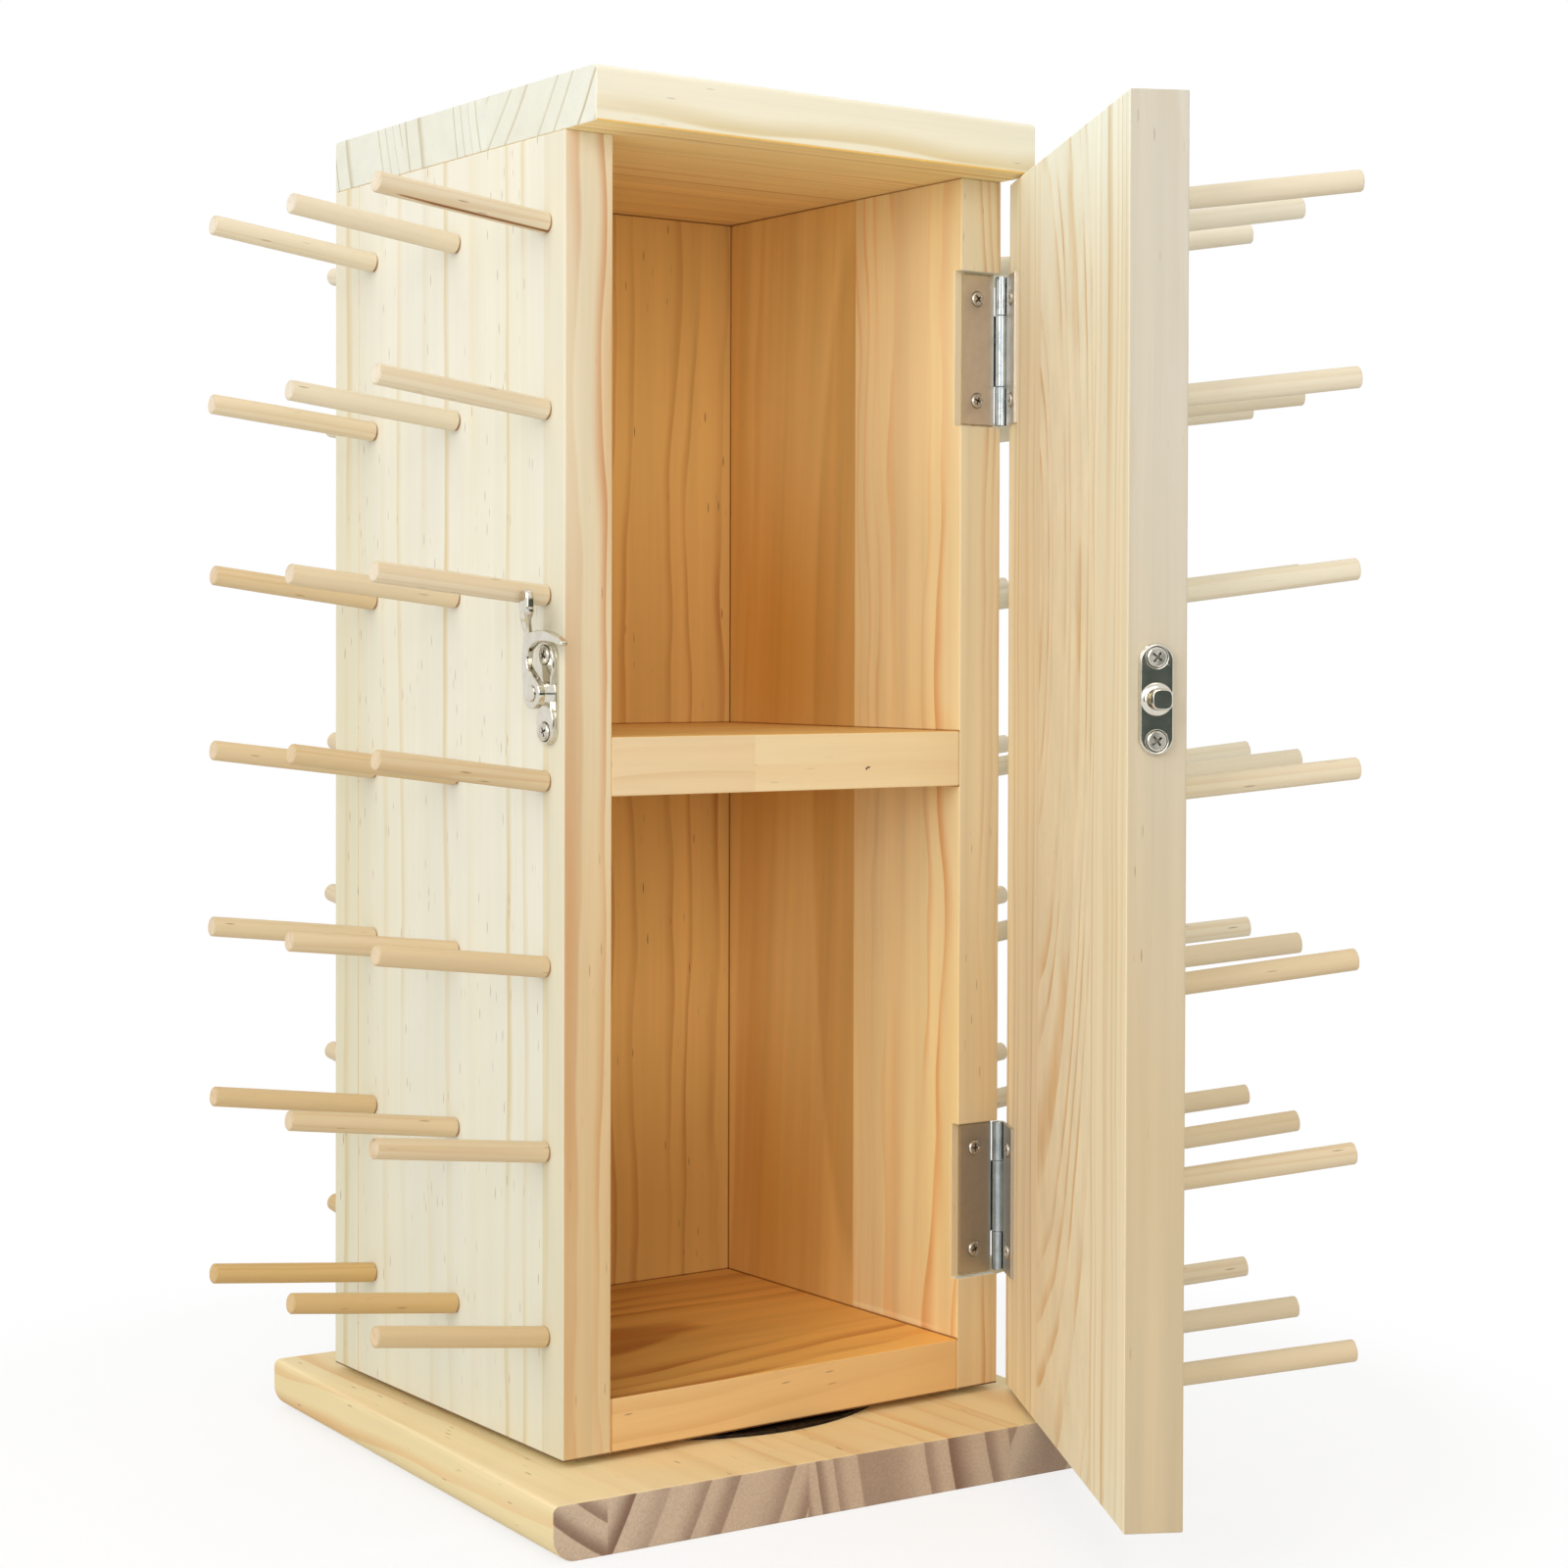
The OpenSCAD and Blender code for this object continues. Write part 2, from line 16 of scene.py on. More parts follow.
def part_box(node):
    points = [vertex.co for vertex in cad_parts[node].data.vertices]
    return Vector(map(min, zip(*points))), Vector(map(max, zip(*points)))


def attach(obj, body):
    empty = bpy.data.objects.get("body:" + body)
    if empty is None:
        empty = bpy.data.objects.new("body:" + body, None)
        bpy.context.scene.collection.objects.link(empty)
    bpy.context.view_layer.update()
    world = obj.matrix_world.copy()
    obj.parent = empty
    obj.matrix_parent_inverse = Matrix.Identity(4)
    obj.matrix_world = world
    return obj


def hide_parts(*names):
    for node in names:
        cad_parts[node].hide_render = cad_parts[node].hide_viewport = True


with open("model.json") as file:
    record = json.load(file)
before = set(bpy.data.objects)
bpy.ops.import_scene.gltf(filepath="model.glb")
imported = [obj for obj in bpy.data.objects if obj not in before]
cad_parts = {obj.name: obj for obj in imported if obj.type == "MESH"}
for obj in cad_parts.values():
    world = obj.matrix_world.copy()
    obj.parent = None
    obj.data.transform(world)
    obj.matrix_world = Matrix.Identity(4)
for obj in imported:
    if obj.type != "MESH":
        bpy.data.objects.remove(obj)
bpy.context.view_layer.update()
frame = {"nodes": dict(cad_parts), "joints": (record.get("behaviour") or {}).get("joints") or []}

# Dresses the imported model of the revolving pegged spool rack. Shapes are drawn in millimetres, with
# the door closed, and are turned and scaled to metres when a piece is finished.

LOG = logging.getLogger("spool_rack")
MM = 0.001
BASE_TURN = -3.0
Screen = tuple[int, int, int]
Colour = tuple[float, float, float, float]
WHITE: Colour = (1.0, 1.0, 1.0, 1.0)


def seen(red: float, green: float, blue: float) -> Colour:
    """Turns a colour as a screen shows it, from 0 to 255, into the linear one that shaders take."""
    parts = (value / 255 for value in (red, green, blue))
    return *(p / 12.92 if p <= 0.04045 else ((p + 0.055) / 1.055) ** 2.4 for p in parts), 1.0


def sind(degrees: float) -> float:
    """Sine of an angle in degrees."""
    return math.sin(math.radians(degrees))


def cosd(degrees: float) -> float:
    """Cosine of an angle in degrees."""
    return math.cos(math.radians(degrees))


def turned(degrees: float, axis: str) -> Matrix:
    """Returns the turn by an angle in degrees round an axis."""
    return Matrix.Rotation(math.radians(degrees), 4, axis)


def box_mm(node: str) -> list[Vector]:
    """Returns the lowest and the highest corner of a node's box, in mm."""
    return [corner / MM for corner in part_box(node)]


def joint(name: str) -> dict:
    """Returns the frame's joint of a name."""
    return next(found for found in frame["joints"] if found["name"] == name)


def photographed(body: str) -> Matrix:
    """Gives the turn that takes a body's parts from their drawn place to the one in the photograph.

    Args:
        body: the body.

    Returns:
        The turn.
    """
    if body != "door":
        return turned(BASE_TURN if body == "base" else 0, "Z")
    hinge = joint("door_hinge")
    there = Matrix.Translation(Vector(hinge["pos_m"]) / MM)
    return there @ turned(-hinge["range_deg"][0], "Z") @ there.inverted()


class Wiring:
    """Adds nodes to one node tree and links them."""

    def __init__(self, tree: NodeTree) -> None:
        """Starts on the tree that gets the nodes."""
        self.tree = tree

    def put(self, node: Node, inputs: dict) -> None:
        """Feeds inputs of a node.

        Args:
            node: the node.
            inputs: another node's output, or a plain value, for each input by name or number.
        """
        for key, value in inputs.items():
            if isinstance(value, NodeSocket):
                self.tree.links.new(value, node.inputs[key])
            else:
                node.inputs[key].default_value = value

    def add(self, kind: str, inputs: Optional[dict] = None, **settings: object) -> Node:
        """Adds one node.

        Args:
            kind: the node's type name.
            inputs: values or sockets for its inputs, by name or number.
            settings: the node's own options.

        Returns:
            The new node.
        """
        node = self.tree.nodes.new(kind)
        for key, value in settings.items():
            setattr(node, key, value)
        self.put(node, inputs or {})
        return node

    def math(self, operation: str, first: object, second: object = 0.0) -> NodeSocket:
        """Adds a Math node and returns its output."""
        return self.add("ShaderNodeMath", {0: first, 1: second}, operation=operation).outputs[0]

    def times(self, *factors: object) -> NodeSocket:
        """Multiplies values."""
        return reduce(partial(self.math, "MULTIPLY"), factors)

    def plus(self, *parts: object) -> NodeSocket:
        """Adds values up."""
        return reduce(partial(self.math, "ADD"), parts)

    def minus(self, first: object, second: object) -> NodeSocket:
        """Takes the second value from the first."""
        return self.math("SUBTRACT", first, second)

    def vector(self, operation: str, first: object, second: object = (0, 0, 0)) -> NodeSocket:
        """Adds a Vector Math node and returns its vector, or its number for a length."""
        node = self.add("ShaderNodeVectorMath", {0: first, 1: second}, operation=operation)
        return node.outputs["Value" if operation == "LENGTH" else "Vector"]

    def noise(self, place: object, scale: float, detail: float, along: float = 1.0,
              across: float = 1.0, output: str = "Fac") -> NodeSocket:
        """Adds a noise texture that is drawn out the way the grain runs.

        Args:
            place: the place that it is read at.
            scale: how fine it is.
            detail: how many finer layers it has.
            along: factor on Z, the way the grain runs.
            across: factor on X and Y.
            output: the output that is wanted.

        Returns:
            The output.
        """
        drawn = self.vector("MULTIPLY", place, (across, across, along))
        inputs = {"Vector": drawn, "Scale": scale, "Detail": detail}
        return self.add("ShaderNodeTexNoise", inputs).outputs[output]

    def rise(self, value: object, low: object, high: object) -> NodeSocket:
        """Gives 0 below low and 1 above high, with a smooth step between."""
        return self.add("ShaderNodeMapRange", {0: value, 1: low, 2: high},
                        interpolation_type="SMOOTHSTEP").outputs[0]

    def mix(self, factor: object, first: object, second: object, mode: str = "MIX") -> NodeSocket:
        """Mixes two colours and returns the result."""
        return self.add("ShaderNodeMix", {0: factor, 6: first, 7: second},
                        data_type="RGBA", blend_type=mode, clamp_factor=True).outputs[2]

    def here(self) -> NodeSocket:
        """Returns the place on the object."""
        return self.add("ShaderNodeTexCoord").outputs["Object"]

    def attribute(self, name: str, output: str = "Fac") -> NodeSocket:
        """Returns an attribute of the mesh."""
        return self.add("ShaderNodeAttribute", attribute_name=name).outputs[output]

    def shade(self, inputs: dict) -> Node:
        """Feeds inputs of the material's shader and returns it."""
        shader = self.tree.nodes["Principled BSDF"]
        self.put(shader, inputs)
        return shader


class ShaderGroup:
    """A shader group that turns a finish into a colour and numbers such as the roughness."""

    NAME = ""
    PLACES: tuple[str, ...] = ()
    COLOURS: tuple[str, ...] = ()
    LENGTHS: tuple[str, ...] = ()
    NUMBERS: tuple[str, ...] = ()
    RESULTS: tuple[str, ...] = ("Roughness",)

    @classmethod
    def group(cls) -> NodeTree:
        """Returns the group, made the first time it is asked for."""
        return bpy.data.node_groups.get(cls.NAME) or cls.build()

    @classmethod
    def build(cls) -> NodeTree:
        """Makes the group's sockets and nodes."""
        tree = bpy.data.node_groups.new(cls.NAME, "ShaderNodeTree")
        for way, kind, names in (("INPUT", "Vector", cls.PLACES), ("INPUT", "Color", cls.COLOURS),
                                 ("INPUT", "Float", cls.LENGTHS + cls.NUMBERS),
                                 ("OUTPUT", "Color", ("Colour",)), ("OUTPUT", "Float", cls.RESULTS)):
            for name in names:
                tree.interface.new_socket(name, in_out=way, socket_type="NodeSocket" + kind)
        wire = Wiring(tree)
        wire.add("NodeGroupOutput", cls.draw(wire, wire.add("NodeGroupInput").outputs))
        return tree

    @classmethod
    def draw(cls, wire: Wiring, given: object) -> dict:
        """Adds the group's nodes.

        Args:
            wire: the group's wiring.
            given: the group's inputs.

        Returns:
            The value of each of its outputs.
        """
        raise NotImplementedError

    @classmethod
    def add_to(cls, wire: Wiring, finish: object) -> Node:
        """Adds the group to a material.

        Args:
            wire: the material's wiring.
            finish: the finish, with a field for each input; lengths are in mm.

        Returns:
            The group's node.
        """
        node = wire.add("ShaderNodeGroup", node_tree=cls.group())
        wire.put(node, {name: seen(*getattr(finish, name.lower())) for name in cls.COLOURS})
        wire.put(node, {name: getattr(finish, name.lower()) * MM for name in cls.LENGTHS})
        wire.put(node, {name: getattr(finish, name.lower()) for name in cls.NUMBERS})
        return node


class Growth(ShaderGroup):
    """The shader group that fills solid pine with growth rings round a pith along Z."""

    NAME = "pine_growth"
    PLACES = ("Place",)
    COLOURS = ("Pale", "Line", "Blush")
    LENGTHS = ("Ring", "Wave")
    NUMBERS = ("Band", "Lines", "Streaks", "Blushes", "Fibre", "Dashes", "Broken")
    RESULTS = ("Roughness", "Height")
    RESIN = seen(150, 118, 88)

    @classmethod
    def draw(cls, wire: Wiring, given: object) -> dict:
        """Lays blushes, rings, streaks and resin dashes over the pale wood.

        Args:
            wire: the group's wiring.
            given: the group's inputs.

        Returns:
            The value of each of its outputs.
        """
        place = given["Place"]
        line = cls.rings(wire, given)
        fibre = wire.noise(place, 1500, 2, 0.02)
        streak = wire.noise(place, 160, 3, 0.025)
        patch = wire.rise(wire.noise(place, 16, 2, 0.2), 0.35, 0.7)
        colour = wire.mix(wire.times(patch, given["Blushes"]), given["Pale"], given["Blush"])
        colour = wire.mix(wire.times(line, given["Lines"]), colour, given["Line"])
        shade = wire.plus(1.0, wire.times(wire.minus(streak, 0.5), given["Streaks"]),
                          wire.times(wire.minus(fibre, 0.5), given["Fibre"]))
        colour = wire.mix(1.0, colour, shade, "MULTIPLY")
        dash = cls.dashes(wire, place)
        colour = wire.mix(wire.times(dash, given["Dashes"]), colour, cls.RESIN)
        rough = wire.plus(0.5, wire.times(fibre, 0.22))
        height = wire.minus(wire.plus(wire.times(fibre, 0.5), wire.times(line, 0.4)), dash)
        return {"Colour": colour, "Roughness": rough, "Height": height}

    @staticmethod
    def rings(wire: Wiring, given: object) -> NodeSocket:
        """Draws the dark summer wood of each year.

        Args:
            wire: the group's wiring.
            given: the group's inputs.

        Returns:
            The strength of the dark line.
        """
        place = bent = given["Place"]
        for along, scale, share in ((0.4, 11, 2.0), (0.35, 32, 1.6), (0.1, 75, 0.35)):
            push = wire.vector("SUBTRACT", wire.noise(place, scale, 2, along, output="Color"), (0.5,) * 3)
            moved = wire.vector("MULTIPLY", push, wire.times(given["Wave"], share))
            bent = wire.vector("ADD", bent, moved)
        radius = wire.vector("LENGTH", wire.vector("MULTIPLY", bent, (1, 1, 0)))
        years = wire.math("DIVIDE", radius, given["Ring"])
        vary = wire.add("ShaderNodeTexNoise", {"W": years, "Scale": 0.45, "Detail": 0.0},
                        noise_dimensions="1D").outputs["Fac"]
        years = wire.plus(years, wire.times(vary, 2.2))
        part = wire.math("FRACT", years)
        dark = wire.rise(part, given["Band"], 0.93)
        end = wire.minus(1.0, wire.rise(part, 0.94, 1.0))
        random = wire.add("ShaderNodeTexWhiteNoise", {"W": wire.math("FLOOR", years)},
                          noise_dimensions="1D").outputs["Value"]
        strength = wire.plus(0.3, wire.times(random, 0.7))
        fade = wire.rise(wire.noise(place, 60, 2, 0.08), 0.38, 0.62)
        gap = wire.times(wire.minus(fade, 0.75), 1.05)
        return wire.times(dark, end, strength, wire.plus(1.0, wire.times(gap, given["Broken"])))

    @staticmethod
    def dashes(wire: Wiring, place: object) -> NodeSocket:
        """Draws the short dark dashes of the resin channels.

        Args:
            wire: the group's wiring.
            place: the place in the trunk.

        Returns:
            The mask of the dashes.
        """
        drawn = wire.vector("MULTIPLY", place, (1, 1, 0.12))
        cells = wire.add("ShaderNodeTexVoronoi", {"Vector": drawn, "Scale": 560.0}).outputs
        near = wire.minus(1.0, wire.rise(cells["Distance"], 0.07, 0.15))
        tint = wire.add("ShaderNodeSeparateColor", {0: cells["Color"]}).outputs[0]
        crowd = wire.rise(wire.noise(place, 90, 1, 0.06), 0.37, 0.57)
        return wire.times(near, crowd, wire.rise(tint, 0.3, 0.85))


class Smudges(ShaderGroup):
    """The shader group that dulls and tints polished metal unevenly."""

    NAME = "metal_smudges"
    COLOURS = ("Bright", "Dull")
    NUMBERS = ("Smooth", "Rough")

    @classmethod
    def draw(cls, wire: Wiring, given: object) -> dict:
        """Lays clouded scratches over the bright metal.

        Args:
            wire: the group's wiring.
            given: the group's inputs.

        Returns:
            The value of each of its outputs.
        """
        cloud = wire.noise(wire.here(), 350, 3)
        scratch = wire.noise(wire.here(), 2500, 1, along=0.15, across=3.0)
        mask = wire.times(wire.rise(cloud, 0.35, 0.7), wire.plus(0.6, wire.times(scratch, 0.8)))
        more = wire.minus(given["Rough"], given["Smooth"])
        return {"Colour": wire.mix(mask, given["Bright"], given["Dull"]),
                "Roughness": wire.plus(given["Smooth"], wire.times(mask, more))}


class Grain(Enum):
    """The way a board's grain runs, as the turn that lays it along the trunk's Z."""

    ALONG_X = (0.0, -90.0, 0.0)
    ALONG_Y = (90.0, 0.0, 0.0)
    ALONG_Z = (0.0, 0.0, 0.0)


@dataclass(frozen=True)
class Pith:
    """Where a board was cut from its trunk: the pith's place beside it, in mm, and its lean in degrees."""

    across: float = 0.0
    deep: float = 200.0
    shift: float = 0.0
    lean: float = 0.0
    turn: float = 0.0

    @classmethod
    def through(cls, point: tuple[float, float, float], lean: float, turn: float) -> "Pith":
        """Returns the pith that leaves an upright board at a point.

        Args:
            point: the point, in mm.
            lean: degrees that the trunk leans to the front.
            turn: degrees that it leans to the side.
        """
        moved = turned(turn, "Y") @ turned(lean, "X") @ Vector(point)
        return cls(across=-moved.x, deep=-moved.y, lean=lean, turn=turn)


@dataclass(frozen=True)
class StainAndShade:
    """A patch of another tone in a board, used for real marks and for painted light and shade: its middle
    and half sizes in mm, and what it multiplies by.
    """

    place: tuple[float, float, float]
    reach: tuple[float, float, float]
    colour: Colour
    core: float = 0.0


def new_material(name: str) -> tuple[Material, Wiring]:
    """Makes an empty material with its shader, and returns it with its wiring."""
    made = bpy.data.materials.new(name)
    made.use_nodes = True
    return made, Wiring(made.node_tree)


@dataclass(frozen=True)
class WoodFinish:
    """Planed bare pine: its colours, rings and streaks."""

    name: str
    pale: Screen
    line: Screen
    blush: Screen
    ring: float = 6.0
    band: float = 0.5
    lines: float = 0.6
    wave: float = 4.0
    streaks: float = 0.12
    blushes: float = 0.35
    fibre: float = 0.07
    dashes: float = 0.5
    bump: float = 0.12
    broken: float = 1.0
    fade: Optional[tuple[int, float, float, Colour]] = None
    stains_and_shades: tuple[StainAndShade, ...] = ()

    def material(self, grain: Grain, pith: Pith) -> Material:
        """Makes the material of one board's faces.

        Args:
            grain: the way the board's grain runs.
            pith: where the board lay in the trunk.

        Returns:
            The material.
        """
        made, wire = new_material(self.name)
        turn = [math.radians(angle) for angle in grain.value]
        across = [axis for axis in range(3) if axis != list(Grain).index(grain)]
        for axis, angle in zip(across, (pith.lean, pith.turn)):
            turn[axis] += math.radians(angle)
        moved = Vector((pith.across, pith.deep, pith.shift)) * MM
        inputs = {"Vector": wire.here(), "Location": moved, "Rotation": turn}
        place = wire.add("ShaderNodeMapping", inputs).outputs[0]
        self.wire_up(wire, place, self.tint(wire))
        return made

    def tint(self, wire: Wiring) -> object:
        """Adds the nodes of the fade and of the patches, which paint light and shade on some boards and
        real marks on others.

        Args:
            wire: the material's wiring.

        Returns:
            The colour that the wood is multiplied by.
        """
        tint: object = WHITE
        if self.fade:
            axis, start, stop, colour = self.fade
            level = wire.add("ShaderNodeSeparateXYZ", {0: wire.here()}).outputs[axis]
            part = wire.add("ShaderNodeMapRange", {0: level, 1: start * MM, 2: stop * MM}).outputs[0]
            tint = wire.mix(part, WHITE, colour)
        for stain_and_shade in self.stains_and_shades:
            away = wire.vector("SUBTRACT", wire.here(), Vector(stain_and_shade.place) * MM)
            far = wire.vector("LENGTH", wire.vector("DIVIDE", away, Vector(stain_and_shade.reach) * MM))
            share = wire.minus(1.0, wire.rise(far, stain_and_shade.core, 1.0))
            tint = wire.mix(share, tint, stain_and_shade.colour, "MULTIPLY")
        return tint

    def wire_up(self, wire: Wiring, place: object, tint: object) -> None:
        """Feeds the growth group into the material's shader.

        Args:
            wire: the material's wiring.
            place: the place in the trunk.
            tint: the colour that the wood is multiplied by.
        """
        grown = Growth.add_to(wire, self)
        wire.put(grown, {"Place": place})
        bump = wire.add("ShaderNodeBump", {"Height": grown.outputs["Height"],
                                           "Strength": self.bump, "Distance": 0.0002})
        wire.shade({"Base Color": wire.mix(1.0, grown.outputs["Colour"], tint, "MULTIPLY"),
                    "Roughness": grown.outputs["Roughness"], "Specular IOR Level": 0.25,
                    "Normal": bump.outputs[0]})


@dataclass(frozen=True)
class MetalFinish:
    """Plated and polished metal with uneven shine."""

    name: str
    bright: Screen
    dull: Screen
    smooth: float
    rough: float

    def material(self) -> Material:
        """Returns the material, made once for each finish."""
        return bpy.data.materials.get(self.name) or self.build()

    def build(self) -> Material:
        """Makes the material."""
        made, wire = new_material(self.name)
        worn = Smudges.add_to(wire, self).outputs
        wire.shade({"Base Color": worn["Colour"], "Roughness": worn["Roughness"], "Metallic": 1.0})
        return made


# Painted contact shade: the dark line that boards get where they meet.
JOINT_SHADE_COLOUR = seen(186, 152, 120)
BRUISE = seen(60, 50, 40)


def joint_shade(axis: int, level: float) -> StainAndShade:
    """Returns the painted contact shade along a joint, at a level along an axis."""
    reach = [900.0, 900.0, 900.0]
    reach[axis] = 0.55
    return StainAndShade(tuple(level if i == axis else 0.0 for i in range(3)), tuple(reach), JOINT_SHADE_COLOUR, 0.3)


# Painted contact shade where the top, the floor and both faces of the shelf meet the inner walls.
INNER_JOINT_SHADES = tuple(joint_shade(2, level) for level in (372.9, 31.9, 194.9, 210.9))
# Painted shadow: a dark line along the lowest edge of the cabinet's boards, over the gap above the base.
LOWER_EDGE_SHADOW = StainAndShade((0, 0, 16.9), (900, 900, 0.8), seen(124, 96, 76), 0.4)

# Each face has the tone that it shows, light and shade included: creamy outside, honey-brown inside, where
# the deeper honey-brown is partly the wood and partly painted shade.
CASE_OUT = WoodFinish("pine_cream", (242, 238, 222), (224, 201, 148), (240, 230, 200), ring=14.0,
                      band=0.62, lines=0.75, dashes=0.8, streaks=0.1,
                      fade=(2, 372, 40, seen(243, 244, 240)),
                      stains_and_shades=(LOWER_EDGE_SHADOW, StainAndShade((-75, 75, 200), (6, 34, 400), seen(250, 246, 234), 0.2)))
FRONT_STRIP = replace(CASE_OUT, name="pine_front_strip", pale=(236, 229, 206), blush=(233, 221, 190),
                      lines=0.3, dashes=0.1)
CASE_EDGE = WoodFinish("pine_edge", (238, 227, 200), (206, 142, 80), (226, 196, 146), ring=5.0,
                       band=0.35, lines=0.7, blushes=0.8, streaks=0.35,
                       fade=(2, 372, 220, seen(247, 241, 232)),
                       stains_and_shades=(LOWER_EDGE_SHADOW, StainAndShade((-60, -60, 300), (7, 3, 95), seen(244, 222, 196))))
# The inside's honey-brown is partly the wood's tone and partly painted shade.
CASE_IN_SHADED = WoodFinish("pine_inside_shaded", (245, 207, 137), (196, 140, 74), (230, 182, 104), ring=7.0,
                     band=0.6, lines=0.5, dashes=0.6, streaks=0.2)
END_GRAIN = WoodFinish("pine_end_grain", (236, 235, 220), (190, 176, 138), (230, 226, 206), ring=9.0,
                       band=0.8, lines=1.0, wave=1.2, fibre=0.1, dashes=0.0, broken=0.1)
BASE_TOP = WoodFinish("pine_base", (248, 228, 180), (226, 172, 104), (242, 206, 146), ring=11.0,
                      dashes=0.9, streaks=0.15)
BASE_SIDE = replace(BASE_TOP, name="pine_base_side", pale=(239, 219, 169), blush=(232, 198, 137))
BASE_END = WoodFinish("pine_base_end", (206, 182, 156), (118, 84, 66), (188, 156, 130), ring=11.0,
                      band=0.25, lines=1.0, wave=0.8, fibre=0.45, dashes=0.0, broken=0.0)
# The patch at the door's top edge multiplies by more than one: painted light that makes the inner face
# paler and cooler there.
DOOR_IN = WoodFinish("pine_door_inner", (252, 247, 220), (228, 190, 130), (248, 235, 197), ring=8.0,
                     wave=5.0, dashes=0.3, streaks=0.25, fade=(2, 360, 240, seen(254, 247, 237)),
                     stains_and_shades=(StainAndShade((30, -120, 385), (400, 400, 70), (1.1, 1.22, 1.38, 1.0)),))
DOOR_FIGURE = replace(DOOR_IN, name="pine_door_figure", ring=9.0, lines=0.8, wave=3.0)
DOOR_EDGE = WoodFinish("pine_door_edge", (210, 202, 185), (194, 166, 124), (204, 190, 162), ring=4.0,
                       lines=0.15, dashes=0.6, blushes=0.7, streaks=0.3,
                       fade=(2, 300, 110, seen(249, 235, 210)))
TOP_FRONT = replace(CASE_OUT, name="pine_top_front", pale=(248, 240, 216), stains_and_shades=(
    StainAndShade((0, -75, 372.9), (600, 3, 0.9), seen(252, 208, 112), 0.3),))
# The underside darkens towards the back, painted shade, and carries painted contact shade along the back
# board and along the right panel.
TOP_UNDER = WoodFinish("pine_top_under", (255, 236, 180), (210, 152, 86), (248, 220, 154), band=0.4,
                       streaks=0.25, fade=(1, -45, 5, seen(249, 238, 228)),
                       stains_and_shades=(joint_shade(1, 60), StainAndShade((60, 100, 373), (0.6, 160, 900), JOINT_SHADE_COLOUR, 0.3)))
SHELF_FRONT = WoodFinish("pine_shelf_front", (234, 209, 168), (218, 176, 122), (230, 197, 148),
                         ring=9.0, lines=0.35, dashes=0.3)
SHELF_RIGHT = replace(SHELF_FRONT, name="pine_shelf_right", pale=(241, 219, 178),
                      blush=(235, 212, 166), stains_and_shades=(
                          joint_shade(0, 60), StainAndShade((26.6, -60, 201.0), (0.9, 3, 0.35), BRUISE, 0.4),
                          StainAndShade((25.9, -60, 200.6), (0.5, 3, 0.5), BRUISE, 0.4)))
# The compartment floor's dark tone is painted shade: the fade lightens it towards the right wall, away from
# the left panel's shade, one patch lightens the front and another darkens the back.
FLOOR_IN_SHADED = WoodFinish("pine_compartment_floor_shaded", (183, 142, 77), (140, 83, 32), (174, 127, 60),
                      ring=8.0, band=0.35, lines=0.8, wave=5.0, dashes=0.2, streaks=0.3,
                      fade=(0, -60, 60, (2.14, 2.18, 2.3, 1.0)), stains_and_shades=(
                          joint_shade(0, 60), joint_shade(1, 60),
                          StainAndShade((0, -75, 32), (400, 60, 60), (1.22, 1.22, 1.22, 1.0), 0.2),
                          StainAndShade((0, 75, 32), (400, 75, 60), (0.75, 0.75, 0.75, 1.0))))
FLOOR_FRONT = WoodFinish("pine_bottom_front", (232, 192, 134), (210, 156, 92), (226, 180, 116),
                         ring=9.0, lines=0.35, dashes=1.0,
                         stains_and_shades=(joint_shade(0, 60), joint_shade(0, -60), LOWER_EDGE_SHADOW))
# The rear stave of the right panel's inner face is darker and more orange than the front one, painted
# shade, and its patches paint more shade low in each compartment, at the back corner and by the shelf.
WALL_REAR_SHADED = replace(CASE_IN_SHADED, name="pine_wall_rear_shaded", pale=(253, 218, 147), line=(218, 156, 80),
                    blush=(240, 187, 104), ring=30.0, band=0.2, lines=0.4, dashes=0.15,
                    streaks=0.3, blushes=0.8, stains_and_shades=(
                        joint_shade(1, 60), *INNER_JOINT_SHADES,
                        StainAndShade((60, 34, 236), (40, 62, 78), seen(238, 211, 164)),
                        StainAndShade((60, 34, 58), (40, 62, 78), seen(239, 222, 188)),
                        StainAndShade((60, 56, 300), (40, 16, 95), seen(240, 226, 204)),
                        StainAndShade((60, -9, 204), (9, 24, 168), seen(240, 233, 222), 0.88)))
# The front stave of the right panel's inner face is paler, painted light, and its patches multiply by more
# than one, painted light, along the floor and in both compartments.
WALL_FRONT_LIT = replace(CASE_IN_SHADED, name="pine_wall_front_lit", pale=(255, 233, 181), line=(228, 152, 72),
                     blush=(252, 219, 154), ring=6.5, band=0.55, lines=0.6, wave=8.0, dashes=1.0,
                     streaks=0.35, blushes=0.7, stains_and_shades=(
                         *INNER_JOINT_SHADES,
                         StainAndShade((60, -26, 33.4), (3, 30, 1.0), (1.1, 1.16, 1.3, 1.0), 0.5),
                         StainAndShade((60, -40, 330), (30, 70, 70), (1.13, 1.13, 1.15, 1.0), 0.2),
                         StainAndShade((60, -40, 100), (30, 70, 90), (1.09, 1.08, 1.0, 1.0), 0.2)))
